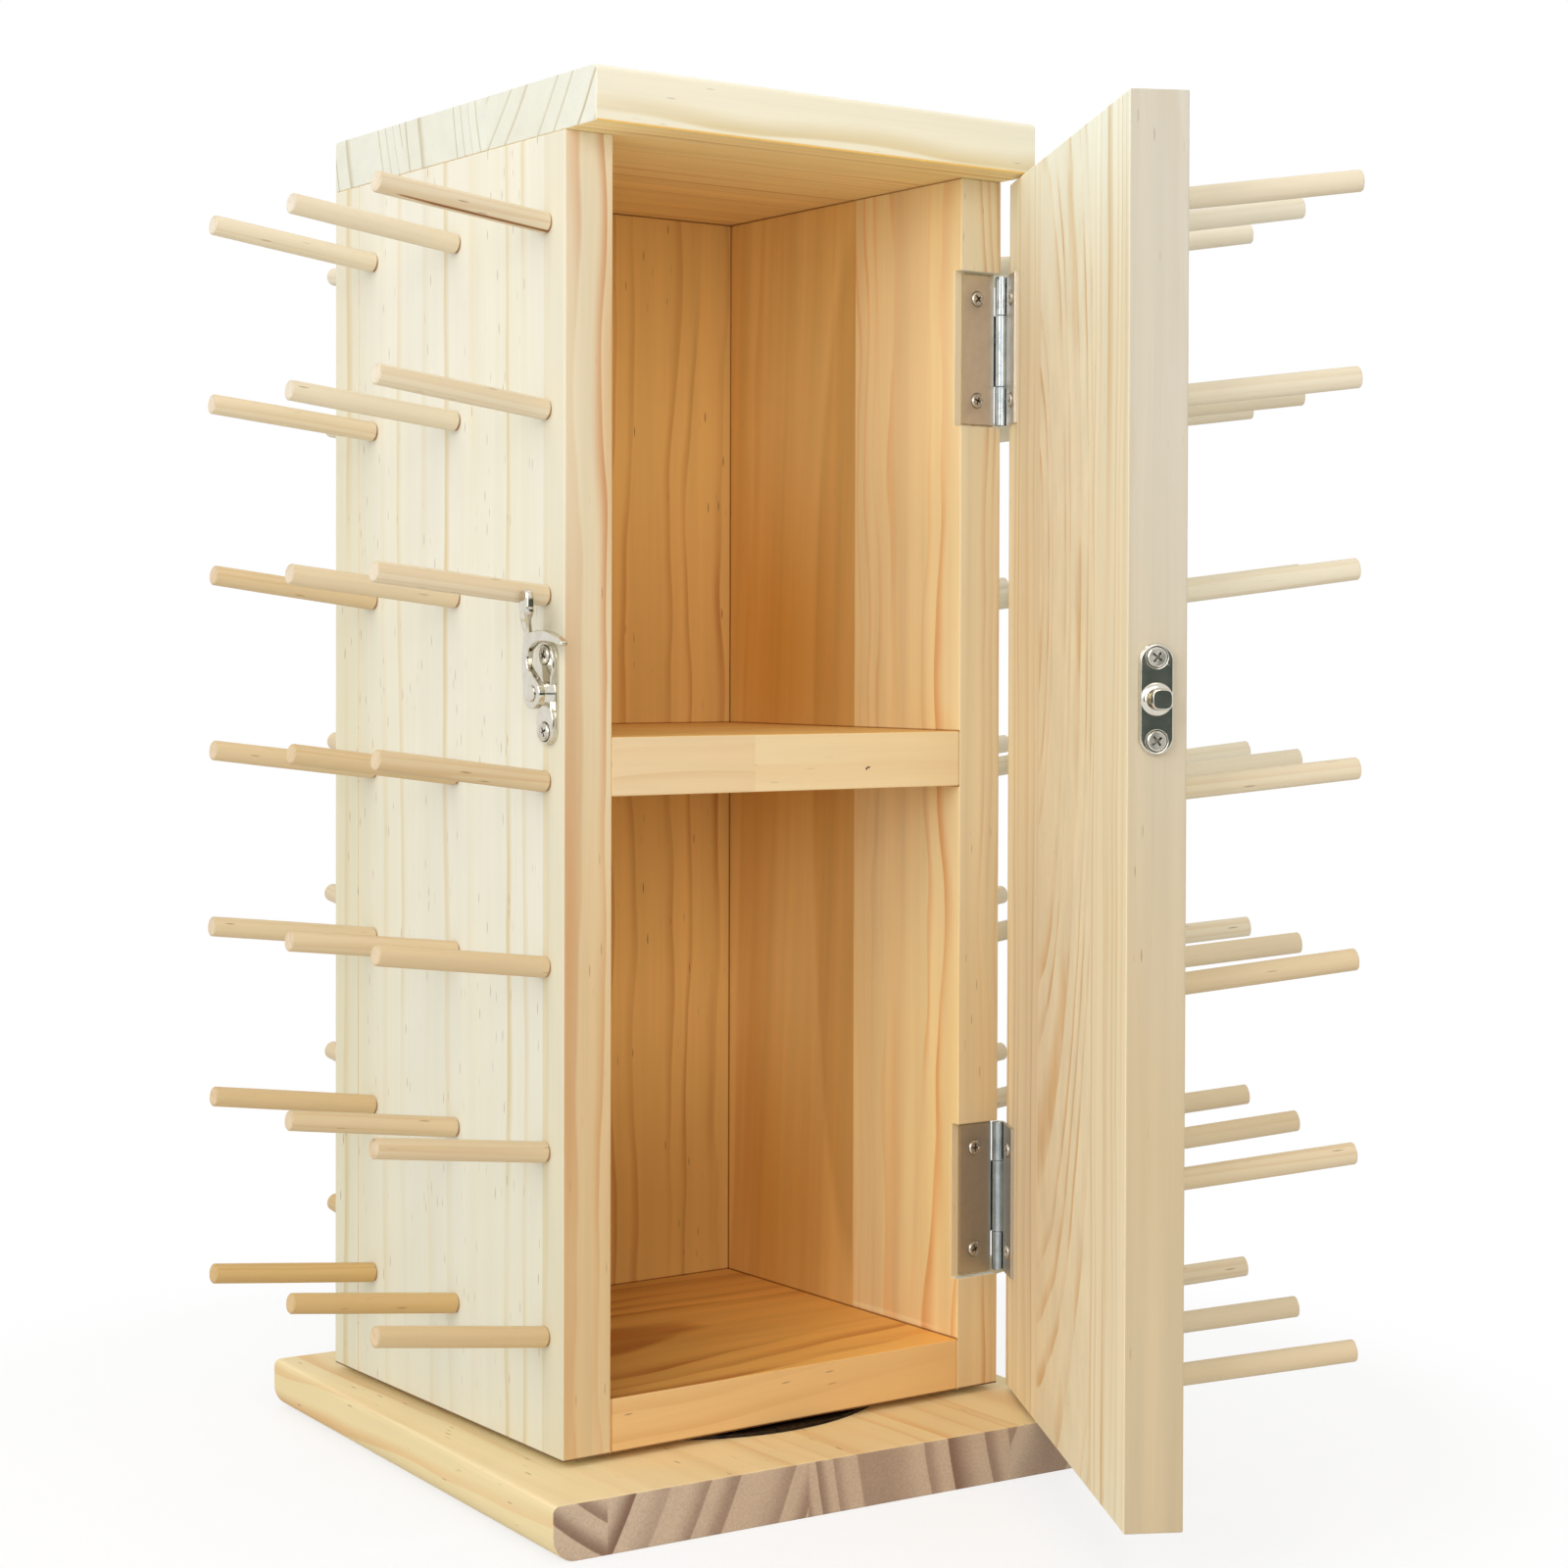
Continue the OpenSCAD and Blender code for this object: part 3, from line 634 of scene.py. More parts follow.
# The back's inner face is a darker copy of the inside tone, painted shade, and its patches paint more shade
# low in each compartment.
BACK_IN_SHADED = replace(CASE_IN_SHADED, name="pine_back_inside_shaded", pale=(236, 192, 118), ring=9.0, lines=0.7,
                  wave=8.0, dashes=1.0, streaks=0.3, line=(182, 112, 46), stains_and_shades=(
                      joint_shade(0, 60), *INNER_JOINT_SHADES,
                      StainAndShade((30, 60, 236), (80, 40, 70), seen(246, 242, 236)),
                      StainAndShade((30, 60, 56), (80, 40, 80), seen(222, 212, 194))))
PEG_SIDE = WoodFinish("peg_side", (245, 238, 218), (220, 190, 142), (238, 222, 188), ring=2.2,
                      band=0.4, lines=0.28, wave=1.0, dashes=0.6, streaks=0.2)
PEG_END = replace(PEG_SIDE, name="peg_end", pale=(255, 252, 244))

NICKEL = MetalFinish("polished_nickel", (218, 213, 200), (211, 205, 191), 0.07, 0.13)
SCREW = MetalFinish("screw_nickel", (214, 209, 198), (198, 192, 180), 0.22, 0.34)
# The rolled knuckles are bluish grey while the leaves of the same sheet are warm: the blue is a painted
# reflection of dark surroundings.
ROLL_REFLECTION = MetalFinish("rolled_knuckle_reflection", (178, 187, 190), (160, 170, 174), 0.16, 0.28)
HINGE_NICKEL = MetalFinish("hinge_nickel", (220, 212, 202), (210, 200, 190), 0.12, 0.22)
LEAF_NICKEL = MetalFinish("brushed_leaf", (213, 203, 188), (208, 198, 183), 0.34, 0.37)
# A darker copy of the brushed leaf for the lower hinge: painted shade.
LEAF_LOW_SHADED = replace(LEAF_NICKEL, name="brushed_leaf_lower_shaded", bright=(196, 187, 172), dull=(191, 182, 167))
PIT = MetalFinish("recess_shade", (150, 142, 130), (120, 112, 100), 0.3, 0.5)
BLACK = MetalFinish("black_steel", (62, 52, 44), (40, 35, 31), 0.45, 0.7)


class Facing(Enum):
    """A side of a board, as the direction that it looks in."""

    LEFT = (-1, 0, 0)
    RIGHT = (1, 0, 0)
    FRONT = (0, -1, 0)
    BACK = (0, 1, 0)
    UP = (0, 0, 1)
    DOWN = (0, 0, -1)


ENDS = {Facing.UP: END_GRAIN, Facing.DOWN: END_GRAIN}
SIDEWAYS = Vector((1, 0, 0))


@dataclass(frozen=True)
class Stave:
    """One of the strips that a board is glued from, with the finish of each face or of all others."""

    pith: Pith
    skins: dict
    upto: float = math.inf


@dataclass
class Board:
    """A planed board with eased edges, glued from one or more staves."""

    node: str
    body: str
    grain: Grain
    staves: Sequence[Stave]
    across: Vector = Vector((0, 1, 0))
    slot: str = "case_wood"
    ease: float = 0.4

    def dress(self, shape: BMesh) -> list[Material]:
        """Cuts the shape into staves and gives each face its finish.

        Args:
            shape: the board in its own unturned place.

        Returns:
            The materials, in slot order.
        """
        for stave in self.staves[:-1]:
            bmesh.ops.bisect_plane(shape, geom=shape.verts[:] + shape.edges[:] + shape.faces[:],
                                   plane_co=self.across * stave.upto, plane_no=self.across,
                                   dist=0.0001)
        index: dict = {}
        for face in shape.faces:
            where = face.calc_center_median().dot(self.across)
            stave = next(found for found in self.staves if where < found.upto)
            facing = max(Facing, key=lambda side: Vector(side.value).dot(face.normal))
            finish = stave.skins.get(facing, stave.skins.get(None, CASE_OUT))
            face.material_index = index.setdefault((stave.pith, finish), len(index))
        return [finish.material(self.grain, pith) for pith, finish in index]

    def make(self, shape: Optional[BMesh] = None) -> None:
        """Makes the finished board from its shape in mm, or from a plain block."""
        shape = shape or block(*box_mm(self.node), self.ease)
        finish_piece(shape, self.node, self.body, self.dress(shape), self.slot)


def block(low: Vector, high: Vector, ease: float) -> BMesh:
    """Makes a block.

    Args:
        low: its lowest corner.
        high: its highest corner.
        ease: how wide its edges are eased, or 0.

    Returns:
        The block.
    """
    shape = bmesh.new()
    bmesh.ops.create_cube(shape, size=1.0)
    bmesh.ops.scale(shape, vec=high - low, verts=shape.verts)
    bmesh.ops.translate(shape, vec=(low + high) / 2, verts=shape.verts)
    if ease > 0:
        soften(shape, shape.edges[:], ease)
    return shape


def soften(shape: BMesh, edges: Sequence[BMEdge], width: float, segments: int = 2) -> None:
    """Rounds edges of a shape.

    Args:
        shape: the shape.
        edges: the edges to round.
        width: how wide the rounding is.
        segments: its number of steps.
    """
    bmesh.ops.bevel(shape, geom=list(edges), offset=width, offset_type="OFFSET", segments=segments,
                    profile=0.5, affect="EDGES", material=-1, clamp_overlap=True)


def corner_edges(shape: BMesh, angle: float = 1.0) -> list[BMEdge]:
    """Returns the edges that fold by more than an angle in radians."""
    return [edge for edge in shape.edges if edge.calc_face_angle(0) > angle]


def level_rims(shape: BMesh) -> list[BMEdge]:
    """Returns the rims round the top and the bottom of an upright shape."""
    return [edge for edge in corner_edges(shape, 1.2)
            if abs(edge.verts[0].co.z - edge.verts[1].co.z) < 0.01]


def upper_rims(shape: BMesh, height: float) -> list[BMEdge]:
    """Returns the corner edges of a plate at a height."""
    return [edge for edge in corner_edges(shape, 0.8)
            if all(abs(vert.co.z - height) < 0.001 for vert in edge.verts)]


def add_object(name: str, data: object) -> Object:
    """Adds an object to the scene and returns it."""
    item = bpy.data.objects.new(name, data)
    bpy.context.scene.collection.objects.link(item)
    return item


def finish_piece(shape: BMesh, node: str, body: str,
                 materials: Sequence[Material], slot: str,
                 sharp: Optional[float] = None) -> None:
    """Turns a shape in mm into a piece of the scene, in metres, that moves with its body.

    Args:
        shape: the shape, which is used up.
        node: the node that it replaces.
        body: the body that it rides on.
        materials: its materials, in slot order.
        slot: the record's material slot name, which only decides whether the piece's name ends in _wood or
            _metal.
        sharp: the angle in degrees from which an edge stays sharp, or None for flat faces.
    """
    name = node + ("_wood" if slot.endswith("wood") else "_metal")
    bmesh.ops.remove_doubles(shape, verts=shape.verts, dist=0.0005)
    bmesh.ops.recalc_face_normals(shape, faces=shape.faces)
    bmesh.ops.transform(shape, matrix=photographed(body), verts=shape.verts)
    bmesh.ops.scale(shape, vec=(MM, MM, MM), verts=shape.verts)
    mesh = bpy.data.meshes.new(name)
    shape.to_mesh(mesh)
    shape.free()
    for material in materials:
        mesh.materials.append(material)
    piece = add_object(name, mesh)
    if sharp is not None:
        mesh.shade_smooth()
        mesh.set_sharp_from_angle(angle=math.radians(sharp))
        piece.modifiers.new("even_flats", "WEIGHTED_NORMAL").keep_sharp = True
    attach(piece, body)
    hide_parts(node)
    LOG.info("%s: %d faces on %s", name, len(mesh.polygons), body)


@dataclass
class Case:
    """The cabinet's boards."""

    notch_deep: float = 3.2
    notch_long: float = 45.4
    top_round: float = 1.6
    ease: float = 0.35
    body: str = "cabinet"

    def build(self) -> None:
        """Makes every board of the case."""
        self.left_panel()
        self.right_panel()
        self.plain_boards()
        self.top_board()

    def left_panel(self) -> None:
        """Makes the panel that carries the latch."""
        skins = {**ENDS, Facing.LEFT: CASE_OUT, Facing.FRONT: CASE_EDGE, Facing.RIGHT: CASE_IN_SHADED}
        strip = {**skins, Facing.LEFT: FRONT_STRIP}
        Board("left_panel", self.body, Grain.ALONG_Z,
              [Stave(Pith(across=90, deep=30, lean=0.3), strip, -48.5),
               Stave(Pith(across=60, deep=260, lean=0.5), skins)]).make()

    def right_panel(self) -> None:
        """Makes the panel that carries the hinges in two notches."""
        low, high = box_mm("right_panel")
        floor = low.y + self.notch_deep
        corners = [(low.y, low.z)]
        for level in ("lower", "upper"):
            middle = sum(corner.z for corner in box_mm(f"hinge_{level}_case_leaf")) / 2
            start, stop = middle - self.notch_long / 2, middle + self.notch_long / 2
            corners += [(low.y, start), (floor, start), (floor, stop), (low.y, stop)]
        corners += [(low.y, high.z), (high.y, high.z), (high.y, low.z)]
        shape = slab([Vector((low.x, y, z)) for y, z in corners], Vector((high.x - low.x, 0, 0)))
        soften(shape, corner_edges(shape), self.ease)
        front = {**ENDS, Facing.LEFT: WALL_FRONT_LIT, Facing.FRONT: CASE_EDGE, Facing.RIGHT: CASE_OUT}
        rear = {**front, Facing.LEFT: WALL_REAR_SHADED}
        Board("right_panel", self.body, Grain.ALONG_Z,
              [Stave(Pith(across=60, deep=160), front, -8),
               Stave(Pith(across=40, deep=60, lean=-2.5, shift=70), rear)]).make(shape)

    def plain_boards(self) -> None:
        """Makes the back, the floor of the lower compartment and the shelf."""
        back = {**ENDS, Facing.FRONT: BACK_IN_SHADED}
        floor = {Facing.UP: FLOOR_IN_SHADED, Facing.FRONT: FLOOR_FRONT, None: CASE_IN_SHADED}
        left, right = ({Facing.FRONT: front, None: CASE_IN_SHADED} for front in (SHELF_FRONT, SHELF_RIGHT))
        for node, grain, staves in (
                ("back_board", Grain.ALONG_Z, [Stave(Pith(across=150, deep=30), back)]),
                ("bottom_board", Grain.ALONG_X, [Stave(Pith(across=90, deep=10, lean=3, turn=2), floor)]),
                ("shelf", Grain.ALONG_X, [Stave(Pith(across=40, deep=120), left, -13),
                                          Stave(Pith(across=70, deep=60), right)])):
            Board(node, self.body, grain, staves, SIDEWAYS).make()

    def top_board(self) -> None:
        """Makes the top with its rounded long edges."""
        low, high = box_mm("top_board")
        shape = block(low, high, 0)
        soften(shape, [edge for edge in shape.edges if abs(edge.verts[0].co.x - edge.verts[1].co.x) > 1
                       and edge.verts[0].co.z > low.z + 1], self.top_round, 6)
        soften(shape, corner_edges(shape), self.ease)
        skins = {Facing.DOWN: TOP_UNDER, Facing.LEFT: END_GRAIN, Facing.RIGHT: END_GRAIN,
                 Facing.FRONT: TOP_FRONT}
        Board("top_board", self.body, Grain.ALONG_X,
              [Stave(Pith(across=504, deep=-116), skins, -17),
               Stave(Pith(across=440, deep=300), skins, 32),
               Stave(Pith(across=458, deep=251), skins)]).make(shape)


def slab(outline: Sequence[Vector], thickness: Vector) -> BMesh:
    """Makes a solid from a flat outline.

    Args:
        outline: the corners of its first face, in order.
        thickness: the way and length that the face is drawn out.

    Returns:
        The solid.
    """
    shape = bmesh.new()
    shape.faces.new([shape.verts.new(corner) for corner in outline])
    return drawn_out(shape, thickness)


def drawn_out(shape: BMesh, thickness: Vector) -> BMesh:
    """Draws all of a flat shape out into a solid.

    Args:
        shape: the flat shape.
        thickness: the way and length that it is drawn out.

    Returns:
        The same shape, now solid.
    """
    drawn = bmesh.ops.extrude_face_region(shape, geom=shape.faces[:])
    moved = [part for part in drawn["geom"] if isinstance(part, BMVert)]
    bmesh.ops.translate(shape, vec=thickness, verts=moved)
    bmesh.ops.recalc_face_normals(shape, faces=shape.faces)
    return shape


@dataclass
class Base:
    """The base board, which stands turned under the cabinet."""

    width: float = 180.0
    depth: float = 184.0
    thick: float = 15.0
    round_low: float = 7.0
    round_top: float = 2.0
    ease: float = 0.4

    def build(self) -> None:
        """Makes the base board with its rounded long edges."""
        high = Vector((self.width / 2, self.depth / 2, self.thick))
        shape = block(Vector((-high.x, -high.y, 0)), high, 0)
        for level, radius in ((self.thick, self.round_top), (0, self.round_low)):
            soften(shape, [edge for edge in shape.edges if abs(edge.verts[0].co.y - edge.verts[1].co.y) > 1
                           and all(abs(vert.co.z - level) < 0.1 for vert in edge.verts)], radius, 10)
        soften(shape, corner_edges(shape), self.ease)
        skins = {None: BASE_SIDE, Facing.UP: BASE_TOP, Facing.FRONT: BASE_END, Facing.BACK: BASE_END}
        Board("base_board", "base", Grain.ALONG_Y,
              [Stave(Pith(across=25, deep=90), skins, -74),
               Stave(Pith(across=260, deep=100), skins, -12),
               Stave(Pith(across=-300, deep=60), skins, 56),
               Stave(Pith(across=200, deep=140), skins)], SIDEWAYS, "base_wood").make(shape)


@dataclass
class Door:
    """The door's panel, with its sides as they lie when it is closed."""

    left: float = -75.0
    right: float = 74.4
    front: float = -75.0
    back: float = -60.0
    ease: float = 0.4

    def build(self) -> None:
        """Makes the door panel."""
        low, high = box_mm("door_panel")
        low.xy = self.left, self.front
        high.xy = self.right, self.back
        skins = {**ENDS, None: CASE_OUT, Facing.BACK: DOOR_IN, Facing.LEFT: DOOR_EDGE}
        figured = {**skins, Facing.BACK: DOOR_FIGURE}
        Board("door_panel", "door", Grain.ALONG_Z,
              [Stave(Pith(across=60, deep=260), skins, -36),
               Stave(Pith.through((60.0, -89.0, 262.0), 11.0, 19.0), figured, 30),
               Stave(Pith(across=-160, deep=-20), skins)], SIDEWAYS).make(block(low, high, self.ease))


@dataclass
class Pegs:
    """The slanted pegs of all four sides.

    The tone runs from 0 to 1, pale to brown: it falls from row to row and wanders from peg to peg. Each
    side and column adds an offset, which on the right side is painted light that pales pegs sitting in
    shade.
    """

    half: float = 75.0
    rows: int = 7
    first: float = 48.9
    pitch: float = 50.0
    diameter: float = 5.8
    reach: float = 52.0
    tilt: float = 7.0
    wander: float = 0.7
    # Below the height root, the peg's foot is darkened, painted contact shade where it enters the board.
    root: float = 0.5
    low_tone: float = 0.85
    tone_step: float = 0.09
    tone_wander: float = 0.17
    cracked: tuple[str, int] = ("pegs_left_front", 6)
    crack_reach: float = 0.7
    crack_angle: float = 30.0
    splintered: tuple[str, int] = ("pegs_left_front", 1)
    splinter: float = 1.3
    saw_mark: float = 0.25

    def build(self) -> None:
        """Makes the twelve columns."""
        skin = self.skin()
        # The fifth number is each side's tone offset, painted light on the right side, and the sixth its
        # change from column to column.
        for side, turn, seed, columns, side_tone_and_light, slope in (
                ("left", 180, 20, ("back", "middle", "front"), 0.0, -0.05),
                ("right", 0, 200, ("front", "middle", "back"), -0.4, 0.0),
                ("back", 90, 110, ("right", "middle", "left"), -0.2, 0.0),
                ("door", 270, 300, ("latch_side", "middle", "hinge_side"), -0.3, -0.1)):
            for column, name in zip((-1, 0, 1), columns):
                body = "door" if side == "door" else "cabinet"
                shape = self.column(f"pegs_{side}_{name}", turn, seed, column, side_tone_and_light + slope * column)
                finish_piece(shape, f"pegs_{side}_{name}", body, skin, "peg_wood", 40)

    def skin(self) -> list[Material]:
        """Makes the materials of a peg's side and end."""
        made = []
        for look in (PEG_SIDE, PEG_END):
            material, wire = new_material(look.name)
            tint = wire.mix(wire.attribute("tone"), seen(250, 249, 247), seen(218, 188, 140))
            crack_and_root_shade = wire.attribute("crack_and_root_shade")
            # Half strength darkens the foot, painted contact shade; full strength darkens the real crack.
            tint = wire.mix(wire.rise(crack_and_root_shade, 0.25, 0.45), tint, seen(176, 136, 98))
            tint = wire.mix(wire.rise(crack_and_root_shade, 0.8, 0.95), tint, seen(120, 62, 40))
            look.wire_up(wire, wire.attribute("grain_place", "Vector"), tint)
            made.append(material)
        return made

    def column(self, node: str, turn: float, seed: float, column: int, tone_and_light_offset: float) -> BMesh:
        """Makes one column of pegs.

        Args:
            node: the column's node.
            turn: degrees from the right side to the column's side.
            seed: start of the side's small deviations.
            column: -1, 0 or 1, across the side.
            tone_and_light_offset: what is added to the column's tone, which on the right side is painted
                light that pales pegs in shade.

        Returns:
            The column.
        """
        shape = bmesh.new()
        place = shape.verts.layers.float_vector.new("grain_place")
        tone = shape.verts.layers.float.new("tone")
        crack_and_root_shade = shape.verts.layers.float.new("crack_and_root_shade")
        for row in range(self.rows):
            sway = self.wander * cosd(113 * row + 71 * column + seed)
            rise = self.tilt + self.wander * sind(137 * row + 59 * column + seed)
            pick = sind(97 * row + 53 * column + 7 * seed)
            shade = self.low_tone - self.tone_step * row + self.tone_wander * pick + tone_and_light_offset
            cut = self.splinter if (node, row) == self.splintered else self.saw_mark
            new = self.peg(shape)
            for vert in new:
                angle = math.degrees(math.atan2(vert.co.y, vert.co.x)) % 360
                split = (node, row) == self.cracked and vert.co.z < self.reach * self.crack_reach
                vert[place] = (vert.co + Vector((4 + 3 * pick, 9 * pick, 100 * pick))) * MM
                vert[tone] = min(1.0, max(0.0, shade))
                # The foot below root gets half strength, painted contact shade round the peg; the crack
                # gets full strength.
                vert[crack_and_root_shade] = 0.5 if vert.co.z < self.root else 0.0
                if split and abs(angle - self.crack_angle) < 1:
                    vert[crack_and_root_shade] = 1.0
                if vert.co.z > self.reach - 0.1:
                    vert.co.z -= cut * abs(sind(4111 * angle))
            root = Vector((self.half, column * self.pitch, self.first + row * self.pitch))
            stand = Matrix.Translation(root) @ turned(sway, "Z") @ turned(90 - rise, "Y")
            bmesh.ops.transform(shape, matrix=turned(turn, "Z") @ stand, verts=new)
        for face in shape.faces:
            face.material_index = int(len(face.verts) > 4)
        return shape

    def peg(self, shape: BMesh) -> list[BMVert]:
        """Adds one peg that stands along Z from the origin, which is on the board's face.

        Args:
            shape: the shape that gets the peg.

        Returns:
            The peg's vertices.
        """
        radius = self.diameter / 2
        return turned_rod(shape, [(-2.0, radius - 0.3), (0.35, radius - 0.3), (0.55, radius),
                                  (self.reach / 3, radius), (self.reach * 2 / 3, radius),
                                  (self.reach - 0.55, radius - 0.05), (self.reach - 0.2, radius - 0.32),
                                  (self.reach, radius - 0.6)], 24)


def closed_ring(shape: BMesh, points: Sequence[Vector]) -> list[BMEdge]:
    """Adds a closed ring of edges through points and returns the edges."""
    verts = [shape.verts.new(point) for point in points]
    return [shape.edges.new(pair) for pair in zip(verts, verts[1:] + verts[:1])]


def round_points(radius: float, height: float, sides: int,
                 centre: tuple[float, float] = (0, 0)) -> list[Vector]:
    """Gives points on a level circle.

    Args:
        radius: the circle's radius.
        height: its height.
        sides: how many points it has.
        centre: the place of its middle.

    Returns:
        The points, in order.
    """
    return [Vector((centre[0] + radius * cosd(360 * i / sides),
                    centre[1] + radius * sind(360 * i / sides), height)) for i in range(sides)]


def draw_ring(shape: BMesh, edges: Sequence[BMEdge], lift: float, factor: float) -> tuple[list, list]:
    """Draws a ring round the Z axis out to another height and size.

    Args:
        shape: the shape that holds the ring.
        edges: the ring's edges.
        lift: how far the new ring lies above it.
        factor: the new ring's size against the old one's.

    Returns:
        The new ring's edges and its vertices.
    """
    drawn = bmesh.ops.extrude_edge_only(shape, edges=list(edges))["geom"]
    verts = [g for g in drawn if isinstance(g, BMVert)]
    rim = [g for g in drawn if isinstance(g, BMEdge) and all(v in verts for v in g.verts)]
    bmesh.ops.translate(shape, vec=(0, 0, lift), verts=verts)
    bmesh.ops.scale(shape, vec=(factor, factor, 1), verts=verts)
    return rim, verts


def turned_rod(shape: BMesh, stations: Sequence[tuple[float, float]], sides: int) -> list[BMVert]:
    """Adds a closed round rod along Z, turned to a radius at each station.

    Args:
        shape: the shape that gets the rod.
        stations: height and radius of each ring, from the lowest up.
        sides: faces round the rod.

    Returns:
        The rod's vertices.
    """
    edges = closed_ring(shape, round_points(stations[0][1], stations[0][0], sides))
    made = list({vert for edge in edges for vert in edge.verts})
    bmesh.ops.contextual_create(shape, geom=edges)
    for (last, before), (height, radius) in zip(stations, stations[1:]):
        edges, verts = draw_ring(shape, edges, height - last, radius / before)
        made += verts
    bmesh.ops.contextual_create(shape, geom=edges)
    return made


def punched_plate(outline: Sequence[Vector], holes: Sequence[Sequence[Vector]], thick: float) -> BMesh:
    """Makes a level plate with holes.

    Args:
        outline: the plate's lower outline, in order.
        holes: the outline of each hole.
        thick: the plate's thickness.

    Returns:
        The plate.
    """
    shape = bmesh.new()
    edges = closed_ring(shape, outline)
    for hole in holes:
        edges += closed_ring(shape, hole)
    bmesh.ops.triangle_fill(shape, use_beauty=True, use_dissolve=False, edges=edges)
    return drawn_out(shape, Vector((0, 0, thick)))


def join_into(shape: BMesh, other: BMesh, place: Matrix = Matrix.Identity(4)) -> None:
    """Moves all of another shape into this one.

    Args:
        shape: the shape that grows.
        other: the shape that is used up.
        place: the turn and place that it gets.
    """
    mesh = bpy.data.meshes.new("moved")
    bmesh.ops.transform(other, matrix=place, verts=other.verts)
    other.to_mesh(mesh)
    other.free()
    shape.from_mesh(mesh)
    bpy.data.meshes.remove(mesh)


@dataclass(frozen=True)
class CrossScrew:
    """A screw with a domed head and a cross recess, drawn upright on its seat at the origin."""

    radius: float
    dome: float
    sunk: float
    shank: float

    def shape(self, twist: float) -> BMesh:
        """Makes the screw's head and the start of its shank.

        Args:
            twist: degrees that the recess is turned by.

        Returns:
            The screw.
        """
        shape = bmesh.new()
        big, arm, wing = self.radius, self.radius * 0.6, self.radius * 0.11
        corner = [(wing, wing), (arm * 0.93, wing), (arm, 0), (arm * 0.93, -wing)]
        cross = [turned(twist - 90 * quarter, "Z") @ Vector((x, y, self.dome))
                 for quarter in range(4) for x, y in corner]
        rim = closed_ring(shape, round_points(big * 0.84, self.dome, 32))
        slots = closed_ring(shape, cross)
        bmesh.ops.triangle_fill(shape, use_beauty=True, use_dissolve=False, edges=rim + slots)
        slots, _ = draw_ring(shape, slots, -self.radius * 0.05, 0.93)
        before = set(shape.faces)
        walls, _ = draw_ring(shape, slots, -self.radius * 0.35, 0.7)
        bmesh.ops.contextual_create(shape, geom=walls)
        for face in set(shape.faces) - before:
            face.material_index = 1
        last_height, last_radius = self.dome, big * 0.84
        for height, radius in ((self.dome * 0.62, big * 0.96), (self.dome * 0.2, big),
                               (0, big), (-self.sunk, self.shank), (-self.sunk - 2, self.shank)):
            rim, _ = draw_ring(shape, rim, height - last_height, radius / last_radius)
            last_height, last_radius = height, radius
        bmesh.ops.contextual_create(shape, geom=rim)
        bmesh.ops.recalc_face_normals(shape, faces=shape.faces)
        return shape


